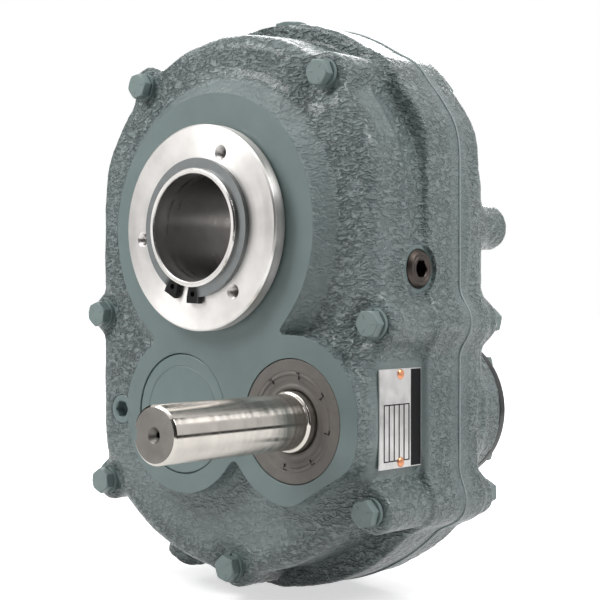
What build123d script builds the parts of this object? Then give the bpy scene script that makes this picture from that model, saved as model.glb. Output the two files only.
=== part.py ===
from build123d import *
from math import atan2, cos, degrees, hypot, pi, radians, sin, sqrt, tan
import os

# Shaft mount reducer, in millimetres. X runs across the casing, Y runs from the input shaft side
# to the back, Z is up. The origin is on the hollow output hub's axis, half way along the hub.

# Gear train
module = 2.5
pressure_angle = 25.0
backlash = 0.3
output_teeth = 73
pinion_teeth = 18
first_teeth = 55
input_teeth = 15
output_gear_front = -6.0
output_gear_width = 40.0
first_gear_front = -34.0
first_gear_width = 24.0
pinion_overlap = 2.0
gear_rim = 12.0
gear_hub_wall = 13.0
gear_pocket_depth = 10.0
counter_x = -23.6

counter_distance = module * (output_teeth + pinion_teeth) / 2
input_distance = module * (first_teeth + input_teeth) / 2
counter_z = -sqrt(counter_distance**2 - counter_x**2)
input_x = counter_x + input_distance
input_z = counter_z
output_gear_back = output_gear_front + output_gear_width
first_gear_back = first_gear_front + first_gear_width

# Clearances
running_gap = 0.05
fit_gap = 0.05
key_gap = 0.1
face_gap = 1.0
seal_recess = 0.25
root_clearance = 0.25 * module
crease_gap = 0.01

# Casing
rough_half_depth = 57.5
boss_half_depth = 70.0
wall = 8.0
body_half_width = 112.0
body_top_bow = 5.0
body_low_bow = 18.0
low_centre_z = -77.0
body_corner_radius = 30.0
body_edge_radius = 10.0
flange_front = -11.0
flange_back = 43.0
flange_side_reach = 4.0
flange_top_reach = 11.5
flange_low_reach = 14.0
flange_edge_radius = 3.0
joint_y = 21.5
gasket_thickness = 0.8
gasket_inset = 0.4
dowel_radius = 3.0
dowel_length = 22.0
dowel_z = 5.0

# Output hub, its tapered seats and its backing plates
hub_end_reach = 2.8
hub_end_radius = 35.0
hub_end_chamfer = 1.0
seat_mouth_radius = 31.6
seat_length = 45.0
seat_taper = 1 / 32
hub_journal_radius = 37.5
hub_gear_seat_radius = 39.5
hub_shoulder_step = 1.0
plate_thickness = 9.0
plate_radius = 61.0
plate_chamfer = 1.0
plate_hole_circle = 94.0
plate_hole_radius = 3.5
plate_countersink_radius = 4.6
plate_hole_angle = 67.0
plate_holes = 3
ring_thickness = 3.2
ring_radius = 41.0
ring_groove_depth = 1.4
ring_gap_angle = 255.0
ring_gap = 9.0
ring_ear_width = 9.5
ring_ear_reach = 44.5
ring_ear_hole_radius = 1.7

# Bearings and seals
hub_bearing_radius = 57.5
hub_bearing_width = 22.0
hub_seal_radius = 50.0
hub_rollers = 18
shaft_journal_radius = 17.5
shaft_bearing_radius = 36.0
shaft_bearing_width = 18.3
shaft_rollers = 14
roller_angle = 12.0
roller_half_angle = 1.5
rib_share = 1 / 8
roller_share = 3 / 8
bearing_shell = 8.0
bearing_lip = 2.5
seal_width = 9.5
seal_shell = 3.0
seal_lip = 1.2
seal_step_radius = 27.0
seal_step = 1.0

# Shafts
input_shaft_radius = 15.875
input_shaft_tip = 177.0
input_step = 74.0
input_keyway_width = 6.35
input_keyway_depth = 3.2
input_keyway_length = 70.0
keyway_side = -1
centre_hole_radius = 3.2
centre_hole_sink = 4.4
centre_hole_depth = 12.0
shaft_shoulder_radius = 20.5
shaft_end_chamfer = 1.2
first_gear_seat_radius = 19.0
pinion_collar_radius = 24.0
output_key_width = 14.0
output_key_height = 9.0
output_key_length = 32.0
first_key_width = 8.0
first_key_height = 7.0
first_key_length = 18.0

# Machined bosses and what closes them
hub_boss_radius = 80.0
hub_skirt_radius = 91.0
counter_boss_radius = 48.0
input_boss_radius = 49.0
input_boss_flat = 42.4
input_boss_flat_angle = -60.0
boss_blend_radius = 10.0
cap_radius = 36.5
cap_thickness = 5.0
shim_thickness = 2.7
backstop_boss_height = 16.5
backstop_radius = 46.0
backstop_cavity_radius = 33.0
backstop_shim = 0.8
backstop_cover_thickness = 7.0
backstop_cover_chamfer = 1.5
backstop_screw_circle = 80.0
backstop_screws = 4
backstop_screw_angle = 45.0
backstop_screw_radius = 3.0
backstop_screw_flats = 10.0
backstop_screw_head = 4.0
backstop_screw_grip = 12.0
rear_lug_x = 100.0
rear_lug_z = 2.0
rear_lug_radius = 14.0
rear_lug_height = 19.5
rear_lug_edge = 2.5
rear_lug_hole_radius = 5.1
rear_lug_hole_depth = 24.0

# Housing bolts: on the round top and bottom each one is given by its angle and how far it stands
# outside the body's outline, and on the straight sides by its side, that distance and its height
top_bolts = [(128.6, 1.0), (49.5, -2.7)]
side_bolts = [(-1, -0.2, -52.1), (1, -1.5, -55.4)]
low_bolts = [(217.4, 6.5), (322.0, 5.9), (271.1, -3.5)]
bolt_lug_radius = 12.8
flange_lug_radius = 13.8
bolt_lug_blend = 8.0
bolt_core_radius = 11.0
bolt_radius = 4.76
bolt_hole_radius = 5.2
bolt_flats = 14.3
bolt_head_height = 6.2
bolt_head_slope = 0.5
bolt_tail = 3.0
bolt_end_chamfer = 0.8
nut_height = 8.2
washer_thickness = 2.3
washer_radius = 8.6
washer_split = 1.2
spotface_radius = 13.6
front_seat = 52.0
back_seat = 54.0

# Oil plugs and nameplate
plug_radius = 11.4
plug_flats = 9.5
plug_length = 14.0
plug_stand = 4.0
plug_chamfer = 1.5
socket_depth = 7.0
side_plug_y = -16.0
side_plug_z = -24.5
side_boss_radius = 19.0
side_boss_height = 1.5
plug_spotface_radius = 13.5
small_plug_radius = 9.3
small_plug_length = 10.0
small_plug_chamfer = 0.5
level_plug_x = -90.5
level_plug_z = -112.7
breather_y = 4.0
breather_boss_radius = 16.5
breather_boss_drop = 1.2
breather_flats = 19.0
breather_head_height = 3.2
breather_neck_radius = 7.5
breather_neck_height = 0.8
breather_thread_radius = 6.5
breather_thread_length = 16.0
drain_y = -27.0
drain_angle = 245.0
drain_boss_radius = 13.5
drain_boss_reach = 12.0
drain_stand = 4.0
nameplate_thickness = 0.8
nameplate_corner = 1.0
nameplate_front = -51.5
nameplate_back = -12.4
nameplate_low = -137.0
nameplate_high = -81.0
rivet_radius = 1.6
rivet_head_radius = 2.9
rivet_head_height = 1.0
rivet_length = 5.0
rivet_inset = 3.2


def around(centre_z, radius, turn):
    """The point (x, z) at an angle in degrees and a radius about (0, centre_z)."""
    return (radius * cos(radians(turn)), centre_z + radius * sin(radians(turn)))


body_top_radius = body_half_width + body_top_bow
body_low_radius = body_half_width + body_low_bow
flange_half_width = body_half_width + flange_side_reach
flange_top_radius = body_top_radius + flange_top_reach
flange_low_radius = body_low_radius + flange_low_reach
breather_boss_top = flange_top_radius - breather_boss_drop
bolt_places = [around(0, body_top_radius + reach, turn) for turn, reach in top_bolts]
bolt_places += [(side * (body_half_width + reach), z) for side, reach, z in side_bolts]
bolt_places += [around(low_centre_z, body_low_radius + reach, turn) for turn, reach in low_bolts]
hub_axis = (0.0, 0.0)
counter_axis = (counter_x, counter_z)
input_axis = (input_x, input_z)
along_y = (0, 1, 0)
seat_small_radius = seat_mouth_radius - seat_length * seat_taper
plate_back_y = boss_half_depth + face_gap
plate_face_y = plate_back_y + plate_thickness
ring_face_y = plate_face_y + ring_thickness
hub_half = ring_face_y + hub_end_reach
groove_radius = hub_end_radius - ring_groove_depth
hub_shoulder_radius = hub_gear_seat_radius + hub_shoulder_step
bearing_outer_y = boss_half_depth - seal_width - face_gap
seal_face_y = boss_half_depth - seal_recess
seal_back_y = seal_face_y - seal_width
hub_bearing_inner_y = bearing_outer_y - hub_bearing_width
input_bearing_inner_y = bearing_outer_y - shaft_bearing_width
cap_seat_y = boss_half_depth - cap_thickness
counter_bearing_outer_y = cap_seat_y - shim_thickness
counter_bearing_inner_y = counter_bearing_outer_y - shaft_bearing_width
cavity_half_depth = rough_half_depth - wall
through_wall = 2 * wall
front_joint_y = joint_y - gasket_thickness / 2
back_joint_y = joint_y + gasket_thickness / 2
backstop_face_y = rough_half_depth + backstop_boss_height
backstop_cover_y = backstop_face_y + backstop_shim
backstop_end_y = backstop_cover_y + backstop_cover_thickness
screw_turns = [radians(backstop_screw_angle + 360 * turn / backstop_screws)
               for turn in range(backstop_screws)]
screw_places = [(input_x + backstop_screw_circle / 2 * cos(turn),
                 input_z + backstop_screw_circle / 2 * sin(turn)) for turn in screw_turns]
dowel_places = [(side * (flange_half_width + body_half_width - wall) / 2, dowel_z)
                for side in (-1, 1)]
drain_direction = Vector(cos(radians(drain_angle)), 0, sin(radians(drain_angle)))
drain_base = Vector(0, drain_y, low_centre_z) + drain_direction * (body_low_radius - wall)
drain_face = Vector(0, drain_y, low_centre_z) + drain_direction * (body_low_radius + drain_boss_reach)
rivet_places = [((nameplate_front + nameplate_back) / 2, nameplate_high - rivet_inset),
                ((nameplate_front + nameplate_back) / 2, nameplate_low + rivet_inset)]
case_body = (body_half_width, body_top_radius, body_low_radius)
case_flange = (flange_half_width, flange_top_radius, flange_low_radius)


def station(y):
    """The XZ plane at a distance y along the shafts."""
    return Plane.XZ.offset(-y)


def drawn(outline, start, end, mode=Mode.ADD):
    """Carry an outline that lies at y = start straight on to y = end."""
    return extrude(outline, amount=abs(end - start), dir=(0, 1 if end > start else -1, 0), mode=mode)


def turned(centre, points, mode=Mode.ADD, side=1):
    """Revolve an outline of (radius, y) points about the shaft line through centre (x, z).

    The outline lies on the +X side of the line, or with side = -1 on the other.
    """
    section = Plane((centre[0], 0, centre[1]), x_dir=(side, 0, 0), z_dir=(0, 0, side))
    with BuildSketch(section) as outline:
        with BuildLine():
            Polyline(*points, close=True)
        make_face()
    return revolve(outline.sketch, axis=Axis((centre[0], 0, centre[1]), along_y), mode=mode)


def tube(centre, inner, outer, start, end, mode=Mode.ADD):
    """A plain ring, or a disc where inner is 0, about a shaft line."""
    return turned(centre, [(inner, start), (outer, start), (outer, end), (inner, end)], mode)


def drill(places, radius, start, end):
    """Round holes along Y."""
    for place in places:
        tube(place, 0, radius, start, end, Mode.SUBTRACT)


def bar(x, z, width, height, start, end, mode=Mode.SUBTRACT):
    """A rectangular bar along Y whose section is centred at (x, z)."""
    with BuildSketch(station(start)) as outline:
        with Locations((x, z)):
            Rectangle(width, height)
    return drawn(outline.sketch, start, end, mode)


def hexagon(centre, flats, start, end, mode=Mode.ADD):
    """A hexagonal bar along Y."""
    with BuildSketch(station(start)) as outline:
        with Locations(centre):
            RegularPolygon(flats / 2, 6, major_radius=False, rotation=30)
    return drawn(outline.sketch, start, end, mode)


def stub(origin, direction, radius, length, mode=Mode.ADD):
    """A round bar that starts at origin and points along direction."""
    with BuildSketch(Plane(origin, z_dir=direction)) as outline:
        Circle(radius)
    return extrude(outline.sketch, amount=length, dir=direction, mode=mode)


def case_outline(y, half_width, top_radius, low_radius, lug_radius=0.0, inset=0.0):
    """Round-topped casing outline at y, with a blended round lug at each bolt if lug_radius is set."""
    half = half_width - inset
    top = top_radius - inset
    low = low_radius - inset
    lug = lug_radius - inset
    top_z = sqrt(top**2 - half**2)
    low_z = low_centre_z - sqrt(low**2 - half**2)
    with BuildSketch(station(y)) as outline:
        with BuildLine():
            ThreePointArc((-half, top_z), (0, top), (half, top_z))
            Line((half, top_z), (half, low_z))
            ThreePointArc((half, low_z), (0, low_centre_z - low), (-half, low_z))
            Line((-half, low_z), (-half, top_z))
        make_face()
        fillet(outline.vertices(), body_corner_radius)
        if lug_radius:
            for x, z in bolt_places:
                inward = degrees(atan2(low_centre_z / 2 - z, -x))
                with Locations(Location((x, z, 0), (0, 0, inward))):
                    Circle(lug)
            creases = [corner for corner in outline.vertices()
                       if any(abs(hypot(corner.X - x, corner.Y - z) - lug) < crease_gap
                              for x, z in bolt_places)]
            fillet(creases, bolt_lug_blend)
    return outline.sketch


def cavity_outline(y):
    """Inside of the casing wall, kept clear of the metal round each bolt."""
    with BuildSketch(station(y)) as outline:
        add(case_outline(0, *case_body, inset=wall).moved(Location((0, 0, 0), (-90, 0, 0))))
        with Locations(*bolt_places):
            Circle(bolt_core_radius, mode=Mode.SUBTRACT)
    return outline.sketch


def boss_outline(y):
    """Machined boss: round about the hub, joined to a round boss about each lower shaft."""
    flat_turn = radians(input_boss_flat_angle)
    flat_reach = input_boss_flat + input_boss_radius / 2
    flat_centre = (input_x + flat_reach * cos(flat_turn), input_z + flat_reach * sin(flat_turn))
    with BuildSketch(station(y)) as outline:
        with BuildLine():
            Polyline(hub_axis, counter_axis, input_axis, close=True)
        make_face()
        Circle(hub_boss_radius)
        with Locations(counter_axis):
            Circle(counter_boss_radius)
        with Locations(input_axis):
            Circle(input_boss_radius)
        with Locations(Location((*flat_centre, 0), (0, 0, input_boss_flat_angle))):
            Rectangle(input_boss_radius, 2 * input_boss_radius, mode=Mode.SUBTRACT)
        fillet(outline.vertices(), boss_blend_radius)
        with Locations((0, low_centre_z)):
            Rectangle(2 * body_half_width, 2 * body_low_radius, mode=Mode.INTERSECT)
    return outline.sketch


def toothed(centre, teeth, phase, start, end):
    """Straight-cut gear blank with involute flanks, one tooth centred at the angle phase."""
    pitch_radius = module * teeth / 2
    base_radius = pitch_radius * cos(radians(pressure_angle))
    half_tooth = pi / (2 * teeth) - backlash / (4 * pitch_radius)
    involute_at_pitch = tan(radians(pressure_angle)) - radians(pressure_angle)

    def half_width_angle(radius):
        roll = sqrt(max(radius / base_radius, 1) ** 2 - 1)
        return half_tooth + involute_at_pitch - (roll - atan2(roll, 1))

    def at(radius, angle):
        return (centre[0] + radius * cos(angle), centre[1] + radius * sin(angle))

    root_radius = pitch_radius - module - root_clearance
    mid_flank = module / 3
    flank = [root_radius, pitch_radius - mid_flank, pitch_radius + mid_flank, pitch_radius + module]
    points = []
    for tooth in range(teeth):
        middle = radians(phase) + 2 * pi * tooth / teeth
        points += [at(radius, middle - half_width_angle(radius)) for radius in flank]
        points += [at(radius, middle + half_width_angle(radius)) for radius in reversed(flank)]
    with BuildSketch(station(start)) as outline:
        with BuildLine():
            Polyline(*points, close=True)
        make_face()
    return drawn(outline.sketch, start, end)


def roller_apex(inner, outer, start, end, opens):
    """The y at which the lines of a bearing's rollers meet its shaft line."""
    return (start + end) / 2 - opens * (inner + outer) / 2 / tan(radians(roller_angle))


def cup(centre, inner, outer, start, end, opens):
    """Outer race. opens is 1 or -1, the way along Y in which the rollers spread."""
    apex = roller_apex(inner, outer, start, end, opens)
    slope = tan(radians(roller_angle + roller_half_angle))
    points = [(abs(y - apex) * slope + running_gap, y) for y in (start, end)]
    return turned(centre, [points[0], (outer, start), (outer, end), points[1]])


def cone(centre, inner, outer, start, end, opens):
    """Inner race, with a rib at the rollers' large end."""
    apex = roller_apex(inner, outer, start, end, opens)
    slope = tan(radians(roller_angle - roller_half_angle))
    rib = (end - start) * rib_share
    small_end, large_end = (start, end) if opens > 0 else (end, start)
    rib_y = large_end - opens * rib
    race = [(abs(y - apex) * slope - fit_gap, y) for y in (small_end, rib_y)]
    bore = inner + fit_gap
    rib_radius = (inner + outer) / 2
    return turned(centre, [(bore, small_end), *race, (rib_radius, rib_y), (rib_radius, large_end),
                           (bore, large_end)])


def rollers(centre, count, inner, outer, start, end, opens):
    """A ring of tapered rollers between the two races."""
    apex = roller_apex(inner, outer, start, end, opens)
    tilt = radians(roller_angle)
    slope = tan(radians(roller_half_angle))
    reach = (inner + outer) / 2 / sin(tilt)
    half = ((end - start) * roller_share - reach * slope * sin(tilt)) / cos(tilt) - fit_gap
    tip = Vector(centre[0], apex, centre[1])
    roller_line = Vector(sin(tilt), cos(tilt) * opens, 0)
    near = reach - half
    far = reach + half
    with BuildSketch(Plane(tip, x_dir=roller_line, z_dir=(0, 0, 1))) as outline:
        with BuildLine():
            Polyline((near, 0), (far, 0), (far, far * slope), (near, near * slope), close=True)
        make_face()
    roller = revolve(outline.sketch, axis=Axis(tip, roller_line), mode=Mode.PRIVATE)
    for turn in range(count):
        add(roller.rotate(Axis((centre[0], 0, centre[1]), along_y), 360 * turn / count))


def lip_seal(centre, shaft, outer, face, back, steps=()):
    """Lip seal: a shell against its bore, a web across its face and a lip on the shaft."""
    out = 1 if face > 0 else -1
    web = face - out * seal_shell
    bore = shaft + running_gap
    return turned(centre, [(bore, face - out * seal_step), *steps, (outer, face), (outer, back),
                           (outer - seal_shell, back), (outer - seal_shell, web),
                           (shaft + seal_shell, web), (bore + seal_lip, back), (bore, back)])


def socket_plug(origin, direction, radius, length, flats, chamfer_size):
    """Round plug with a hexagon socket. origin is the middle of its outer face."""
    face = Plane(origin, z_dir=direction)
    with BuildSketch(face) as outline:
        Circle(radius)
    body = extrude(outline.sketch, amount=length, dir=-Vector(*direction))
    chamfer(body.faces().sort_by(lambda f: (f.center() - Vector(*origin)).length)[0].edges(),
            chamfer_size)
    with BuildSketch(face) as socket:
        RegularPolygon(flats / 2, 6, major_radius=False)
    extrude(socket.sketch, amount=socket_depth, dir=-Vector(*direction), mode=Mode.SUBTRACT)


def save(piece, name):
    piece.part.label = name
    export_step(piece.part, f"parts/{name}.step")


os.makedirs("parts", exist_ok=True)

# Front housing
with BuildPart() as front_housing:
    drawn(case_outline(flange_front, *case_flange, flange_lug_radius), flange_front, front_joint_y)
    fillet(front_housing.faces().sort_by(Axis.Y)[0].edges(), flange_edge_radius)
    drawn(case_outline(-rough_half_depth, *case_body), -rough_half_depth, flange_front)
    fillet(front_housing.faces().sort_by(Axis.Y)[0].edges(), body_edge_radius)
    drawn(case_outline(-front_seat, *case_body, bolt_lug_radius), -front_seat, flange_front)
    drawn(boss_outline(-boss_half_depth), -boss_half_depth, -cavity_half_depth)
    turned(hub_axis, [(0, -boss_half_depth), (hub_boss_radius, -boss_half_depth),
                      (hub_skirt_radius, -rough_half_depth), (hub_skirt_radius, -cavity_half_depth),
                      (0, -cavity_half_depth)])
    stub((0, breather_y, body_top_radius - wall), (0, 0, 1), breather_boss_radius,
         breather_boss_top - body_top_radius + wall)
    stub((0, breather_y, breather_boss_top), (0, 0, 1), breather_boss_radius, flange_top_radius,
         Mode.SUBTRACT)
    stub((body_half_width - wall, side_plug_y, side_plug_z), (1, 0, 0), side_boss_radius,
         wall + side_boss_height)
    stub(drain_base, drain_direction, drain_boss_radius, wall + drain_boss_reach)
    drawn(cavity_outline(-cavity_half_depth), -cavity_half_depth, front_joint_y, Mode.SUBTRACT)
    tube(hub_axis, 0, hub_bearing_radius + bearing_shell, -cavity_half_depth, -hub_bearing_inner_y)
    tube(counter_axis, 0, shaft_bearing_radius + bearing_shell, -cavity_half_depth,
         -counter_bearing_inner_y)
    tube(input_axis, 0, shaft_bearing_radius + bearing_shell, -cavity_half_depth,
         -input_bearing_inner_y + bearing_lip)
    drill([hub_axis], hub_seal_radius, -boss_half_depth, -bearing_outer_y)
    drill([hub_axis], hub_bearing_radius, -bearing_outer_y, -hub_bearing_inner_y)
    drill([counter_axis], cap_radius, -boss_half_depth, -cap_seat_y)
    drill([counter_axis], shaft_bearing_radius, -cap_seat_y, -counter_bearing_inner_y)
    drill([input_axis], shaft_bearing_radius, -boss_half_depth, -input_bearing_inner_y)
    drill([input_axis], shaft_bearing_radius - bearing_lip, -input_bearing_inner_y,
          -input_bearing_inner_y + bearing_lip)
    drill(bolt_places, spotface_radius, -boss_half_depth, -front_seat)
    drill(bolt_places, bolt_hole_radius, -front_seat, front_joint_y)
    drill(dowel_places, dowel_radius, joint_y - dowel_length / 2, front_joint_y)
    drill([(level_plug_x, level_plug_z)], small_plug_radius + fit_gap, -rough_half_depth,
          -cavity_half_depth)
    stub((body_half_width + side_boss_height, side_plug_y, side_plug_z), (-1, 0, 0),
         plug_radius + fit_gap, through_wall, Mode.SUBTRACT)
    stub((body_half_width + side_boss_height, side_plug_y, side_plug_z), (1, 0, 0),
         plug_spotface_radius, wall, Mode.SUBTRACT)
    stub((0, breather_y, breather_boss_top), (0, 0, -1), breather_thread_radius + fit_gap,
         breather_boss_top - body_top_radius + through_wall, Mode.SUBTRACT)
    stub(drain_face, -drain_direction, small_plug_radius + fit_gap, drain_boss_reach + through_wall,
         Mode.SUBTRACT)
    for y, z in rivet_places:
        stub((body_half_width, y, z), (-1, 0, 0), rivet_radius + fit_gap, rivet_length, Mode.SUBTRACT)
save(front_housing, "front_housing")

# Rear housing
with BuildPart() as rear_housing:
    drawn(case_outline(flange_back, *case_flange, flange_lug_radius), flange_back, back_joint_y)
    fillet(rear_housing.faces().sort_by(Axis.Y)[-1].edges(), flange_edge_radius)
    drawn(case_outline(rough_half_depth, *case_body), rough_half_depth, flange_back)
    fillet(rear_housing.faces().sort_by(Axis.Y)[-1].edges(), body_edge_radius)
    drawn(case_outline(back_seat, *case_body, bolt_lug_radius), back_seat, flange_back)
    drawn(boss_outline(boss_half_depth), boss_half_depth, cavity_half_depth)
    turned(hub_axis, [(0, boss_half_depth), (hub_boss_radius, boss_half_depth),
                      (hub_skirt_radius, rough_half_depth), (hub_skirt_radius, cavity_half_depth),
                      (0, cavity_half_depth)])
    tube(input_axis, 0, backstop_radius, cavity_half_depth, backstop_face_y)
    lug_end = rough_half_depth + rear_lug_height
    for side in (-1, 1):
        turned((side * rear_lug_x, rear_lug_z),
               [(0, flange_back), (rear_lug_radius, flange_back),
                (rear_lug_radius, lug_end - rear_lug_edge), (rear_lug_radius - rear_lug_edge, lug_end),
                (0, lug_end)])
    drawn(cavity_outline(cavity_half_depth), cavity_half_depth, back_joint_y, Mode.SUBTRACT)
    tube(hub_axis, 0, hub_bearing_radius + bearing_shell, hub_bearing_inner_y, cavity_half_depth)
    tube(counter_axis, 0, shaft_bearing_radius + bearing_shell, counter_bearing_inner_y,
         cavity_half_depth)
    tube(input_axis, 0, shaft_bearing_radius + bearing_shell, input_bearing_inner_y,
         cavity_half_depth)
    drill([hub_axis], hub_bearing_radius, hub_bearing_inner_y, bearing_outer_y)
    drill([hub_axis], hub_seal_radius, bearing_outer_y, boss_half_depth)
    drill([counter_axis], shaft_bearing_radius, counter_bearing_inner_y, counter_bearing_outer_y)
    drill([input_axis], shaft_bearing_radius, input_bearing_inner_y, bearing_outer_y)
    drill([input_axis], backstop_cavity_radius, bearing_outer_y, backstop_face_y)
    drill(bolt_places, spotface_radius, back_seat, lug_end)
    drill(bolt_places, bolt_hole_radius, back_joint_y, back_seat)
    drill(dowel_places, dowel_radius, back_joint_y, joint_y + dowel_length / 2)
    drill([(side * rear_lug_x, rear_lug_z) for side in (-1, 1)], rear_lug_hole_radius,
          lug_end - rear_lug_hole_depth, lug_end)
    drill(screw_places, backstop_screw_radius + fit_gap, backstop_face_y - backstop_screw_grip,
          backstop_face_y)
save(rear_housing, "rear_housing")

# Gasket, dowels and the through bolts that hold the halves together
with BuildPart() as housing_gasket:
    drawn(case_outline(front_joint_y, *case_flange, flange_lug_radius, gasket_inset),
          front_joint_y, back_joint_y)
    drawn(cavity_outline(front_joint_y), front_joint_y, back_joint_y, Mode.SUBTRACT)
    drill(bolt_places, bolt_hole_radius, front_joint_y, back_joint_y)
    drill(dowel_places, dowel_radius, front_joint_y, back_joint_y)
save(housing_gasket, "housing_gasket")

with BuildPart() as dowel_pins:
    for place in dowel_places:
        tube(place, 0, dowel_radius, joint_y - dowel_length / 2, joint_y + dowel_length / 2)
save(dowel_pins, "dowel_pins")

head_seat_y = -front_seat - washer_thickness
nut_seat_y = back_seat + washer_thickness
nut_end_y = nut_seat_y + nut_height
bolt_end_y = nut_end_y + bolt_tail
with BuildPart() as housing_bolts:
    for place in bolt_places:
        hexagon(place, bolt_flats, head_seat_y - bolt_head_height, head_seat_y)
        turned(place, [(0, head_seat_y), (bolt_radius, head_seat_y),
                       (bolt_radius, bolt_end_y - bolt_end_chamfer),
                       (bolt_radius - bolt_end_chamfer, bolt_end_y), (0, bolt_end_y)])
    head_face_y = head_seat_y - bolt_head_height
    corner_reach = bolt_flats / sqrt(3) + fit_gap
    corner_drop = (corner_reach - bolt_flats / 2) * bolt_head_slope
    for place in bolt_places:
        turned(place, [(bolt_flats / 2, head_face_y), (corner_reach, head_face_y),
                       (corner_reach, head_face_y + corner_drop)], Mode.SUBTRACT)
save(housing_bolts, "housing_bolts")

with BuildPart() as housing_lock_washers:
    for x, z in bolt_places:
        for seat, end in ((head_seat_y, -front_seat), (back_seat, nut_seat_y)):
            tube((x, z), bolt_radius + fit_gap, washer_radius, seat, end)
            bar(x, z + washer_radius / 2, washer_split, washer_radius, seat, end)
save(housing_lock_washers, "housing_lock_washers")

with BuildPart() as housing_nuts:
    for place in bolt_places:
        hexagon(place, bolt_flats, nut_seat_y, nut_end_y)
    drill(bolt_places, bolt_radius + fit_gap, nut_seat_y, nut_end_y)
save(housing_nuts, "housing_nuts")

# Output hub: a tapered seat at each end for the shaft bushing, journals, gear seat and ring grooves
key_low = hub_gear_seat_radius - output_key_height / 2
output_key_start = (output_gear_front + output_gear_back - output_key_length) / 2
output_key_end = output_key_start + output_key_length
with BuildPart() as output_hub:
    turned(hub_axis, [
        (seat_mouth_radius, -hub_half), (hub_end_radius - hub_end_chamfer, -hub_half),
        (hub_end_radius, -hub_half + hub_end_chamfer), (hub_end_radius, -ring_face_y),
        (groove_radius, -ring_face_y), (groove_radius, -plate_face_y),
        (hub_end_radius, -plate_face_y), (hub_end_radius, -plate_back_y),
        (hub_journal_radius, -plate_back_y), (hub_journal_radius, -hub_bearing_inner_y),
        (hub_shoulder_radius, -hub_bearing_inner_y), (hub_shoulder_radius, output_gear_front),
        (hub_gear_seat_radius, output_gear_front), (hub_gear_seat_radius, output_gear_back),
        (hub_journal_radius, output_gear_back), (hub_journal_radius, plate_back_y),
        (hub_end_radius, plate_back_y), (hub_end_radius, plate_face_y),
        (groove_radius, plate_face_y), (groove_radius, ring_face_y),
        (hub_end_radius, ring_face_y), (hub_end_radius, hub_half - hub_end_chamfer),
        (hub_end_radius - hub_end_chamfer, hub_half), (seat_mouth_radius, hub_half),
        (seat_small_radius, hub_half - seat_length), (seat_small_radius, seat_length - hub_half)])
    bar(0, key_low + output_key_height, output_key_width + key_gap, 2 * output_key_height,
        output_key_start, output_key_end)
save(output_hub, "output_hub")

with BuildPart() as output_gear_key:
    bar(0, hub_gear_seat_radius, output_key_width, output_key_height, output_key_start,
        output_key_end, Mode.ADD)
save(output_gear_key, "output_gear_key")

# Toothed wheels. Each pair meets with a tooth of the larger wheel in a gap of the smaller one.
counter_bearing_side = degrees(atan2(counter_z, counter_x))
with BuildPart() as output_gear:
    toothed(hub_axis, output_teeth, counter_bearing_side, output_gear_front, output_gear_back)
    pocket_inner = hub_gear_seat_radius + gear_hub_wall
    pocket_outer = module * output_teeth / 2 - module - root_clearance - gear_rim
    for start in (output_gear_front, output_gear_back - gear_pocket_depth):
        tube(hub_axis, pocket_inner, pocket_outer, start, start + gear_pocket_depth, Mode.SUBTRACT)
    drill([hub_axis], hub_gear_seat_radius + fit_gap, output_gear_front, output_gear_back)
    bar(0, hub_gear_seat_radius, output_key_width + key_gap, output_key_height + 2 * key_gap,
        output_gear_front, output_gear_back)
save(output_gear, "output_gear")

with BuildPart() as output_gear_spacer:
    tube(hub_axis, hub_journal_radius + fit_gap, hub_shoulder_radius + fit_gap, output_gear_back,
         hub_bearing_inner_y)
save(output_gear_spacer, "output_gear_spacer")

# Countershaft with its own pinion; the first gear is keyed to it
pinion_front = output_gear_front - pinion_overlap
pinion_back = output_gear_back + pinion_overlap
first_key_start = (first_gear_front + first_gear_back - first_key_length) / 2
first_key_end = first_key_start + first_key_length
with BuildPart() as countershaft:
    toothed(counter_axis, pinion_teeth, counter_bearing_side + 180 + 180 / pinion_teeth,
            pinion_front, pinion_back)
    turned(counter_axis, [
        (0, -counter_bearing_outer_y), (shaft_journal_radius - shaft_end_chamfer, -counter_bearing_outer_y),
        (shaft_journal_radius, shaft_end_chamfer - counter_bearing_outer_y),
        (shaft_journal_radius, first_gear_front), (first_gear_seat_radius, first_gear_front),
        (first_gear_seat_radius, first_gear_back), (pinion_collar_radius, first_gear_back),
        (pinion_collar_radius, pinion_front), (first_gear_seat_radius, pinion_front),
        (first_gear_seat_radius, pinion_back), (shaft_shoulder_radius, pinion_back),
        (shaft_shoulder_radius, counter_bearing_inner_y), (shaft_journal_radius, counter_bearing_inner_y),
        (shaft_journal_radius, counter_bearing_outer_y - shaft_end_chamfer),
        (shaft_journal_radius - shaft_end_chamfer, counter_bearing_outer_y),
        (0, counter_bearing_outer_y)])
    bar(counter_x, counter_z + first_gear_seat_radius + first_key_height / 2,
        first_key_width + key_gap, 2 * first_key_height, first_key_start, first_key_end)
save(countershaft, "countershaft")

with BuildPart() as first_gear_key:
    bar(counter_x, counter_z + first_gear_seat_radius, first_key_width, first_key_height,
        first_key_start, first_key_end, Mode.ADD)
save(first_gear_key, "first_gear_key")

with BuildPart() as first_gear:
    toothed(counter_axis, first_teeth, 0, first_gear_front, first_gear_back)
    drill([counter_axis], first_gear_seat_radius + fit_gap, first_gear_front, first_gear_back)
    bar(counter_x, counter_z + first_gear_seat_radius, first_key_width + key_gap,
        first_key_height + 2 * key_gap, first_gear_front, first_gear_back)
save(first_gear, "first_gear")

with BuildPart() as first_gear_spacer:
    tube(counter_axis, shaft_journal_radius + fit_gap, shaft_shoulder_radius + fit_gap,
         -counter_bearing_inner_y, first_gear_front)
save(first_gear_spacer, "first_gear_spacer")

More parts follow.
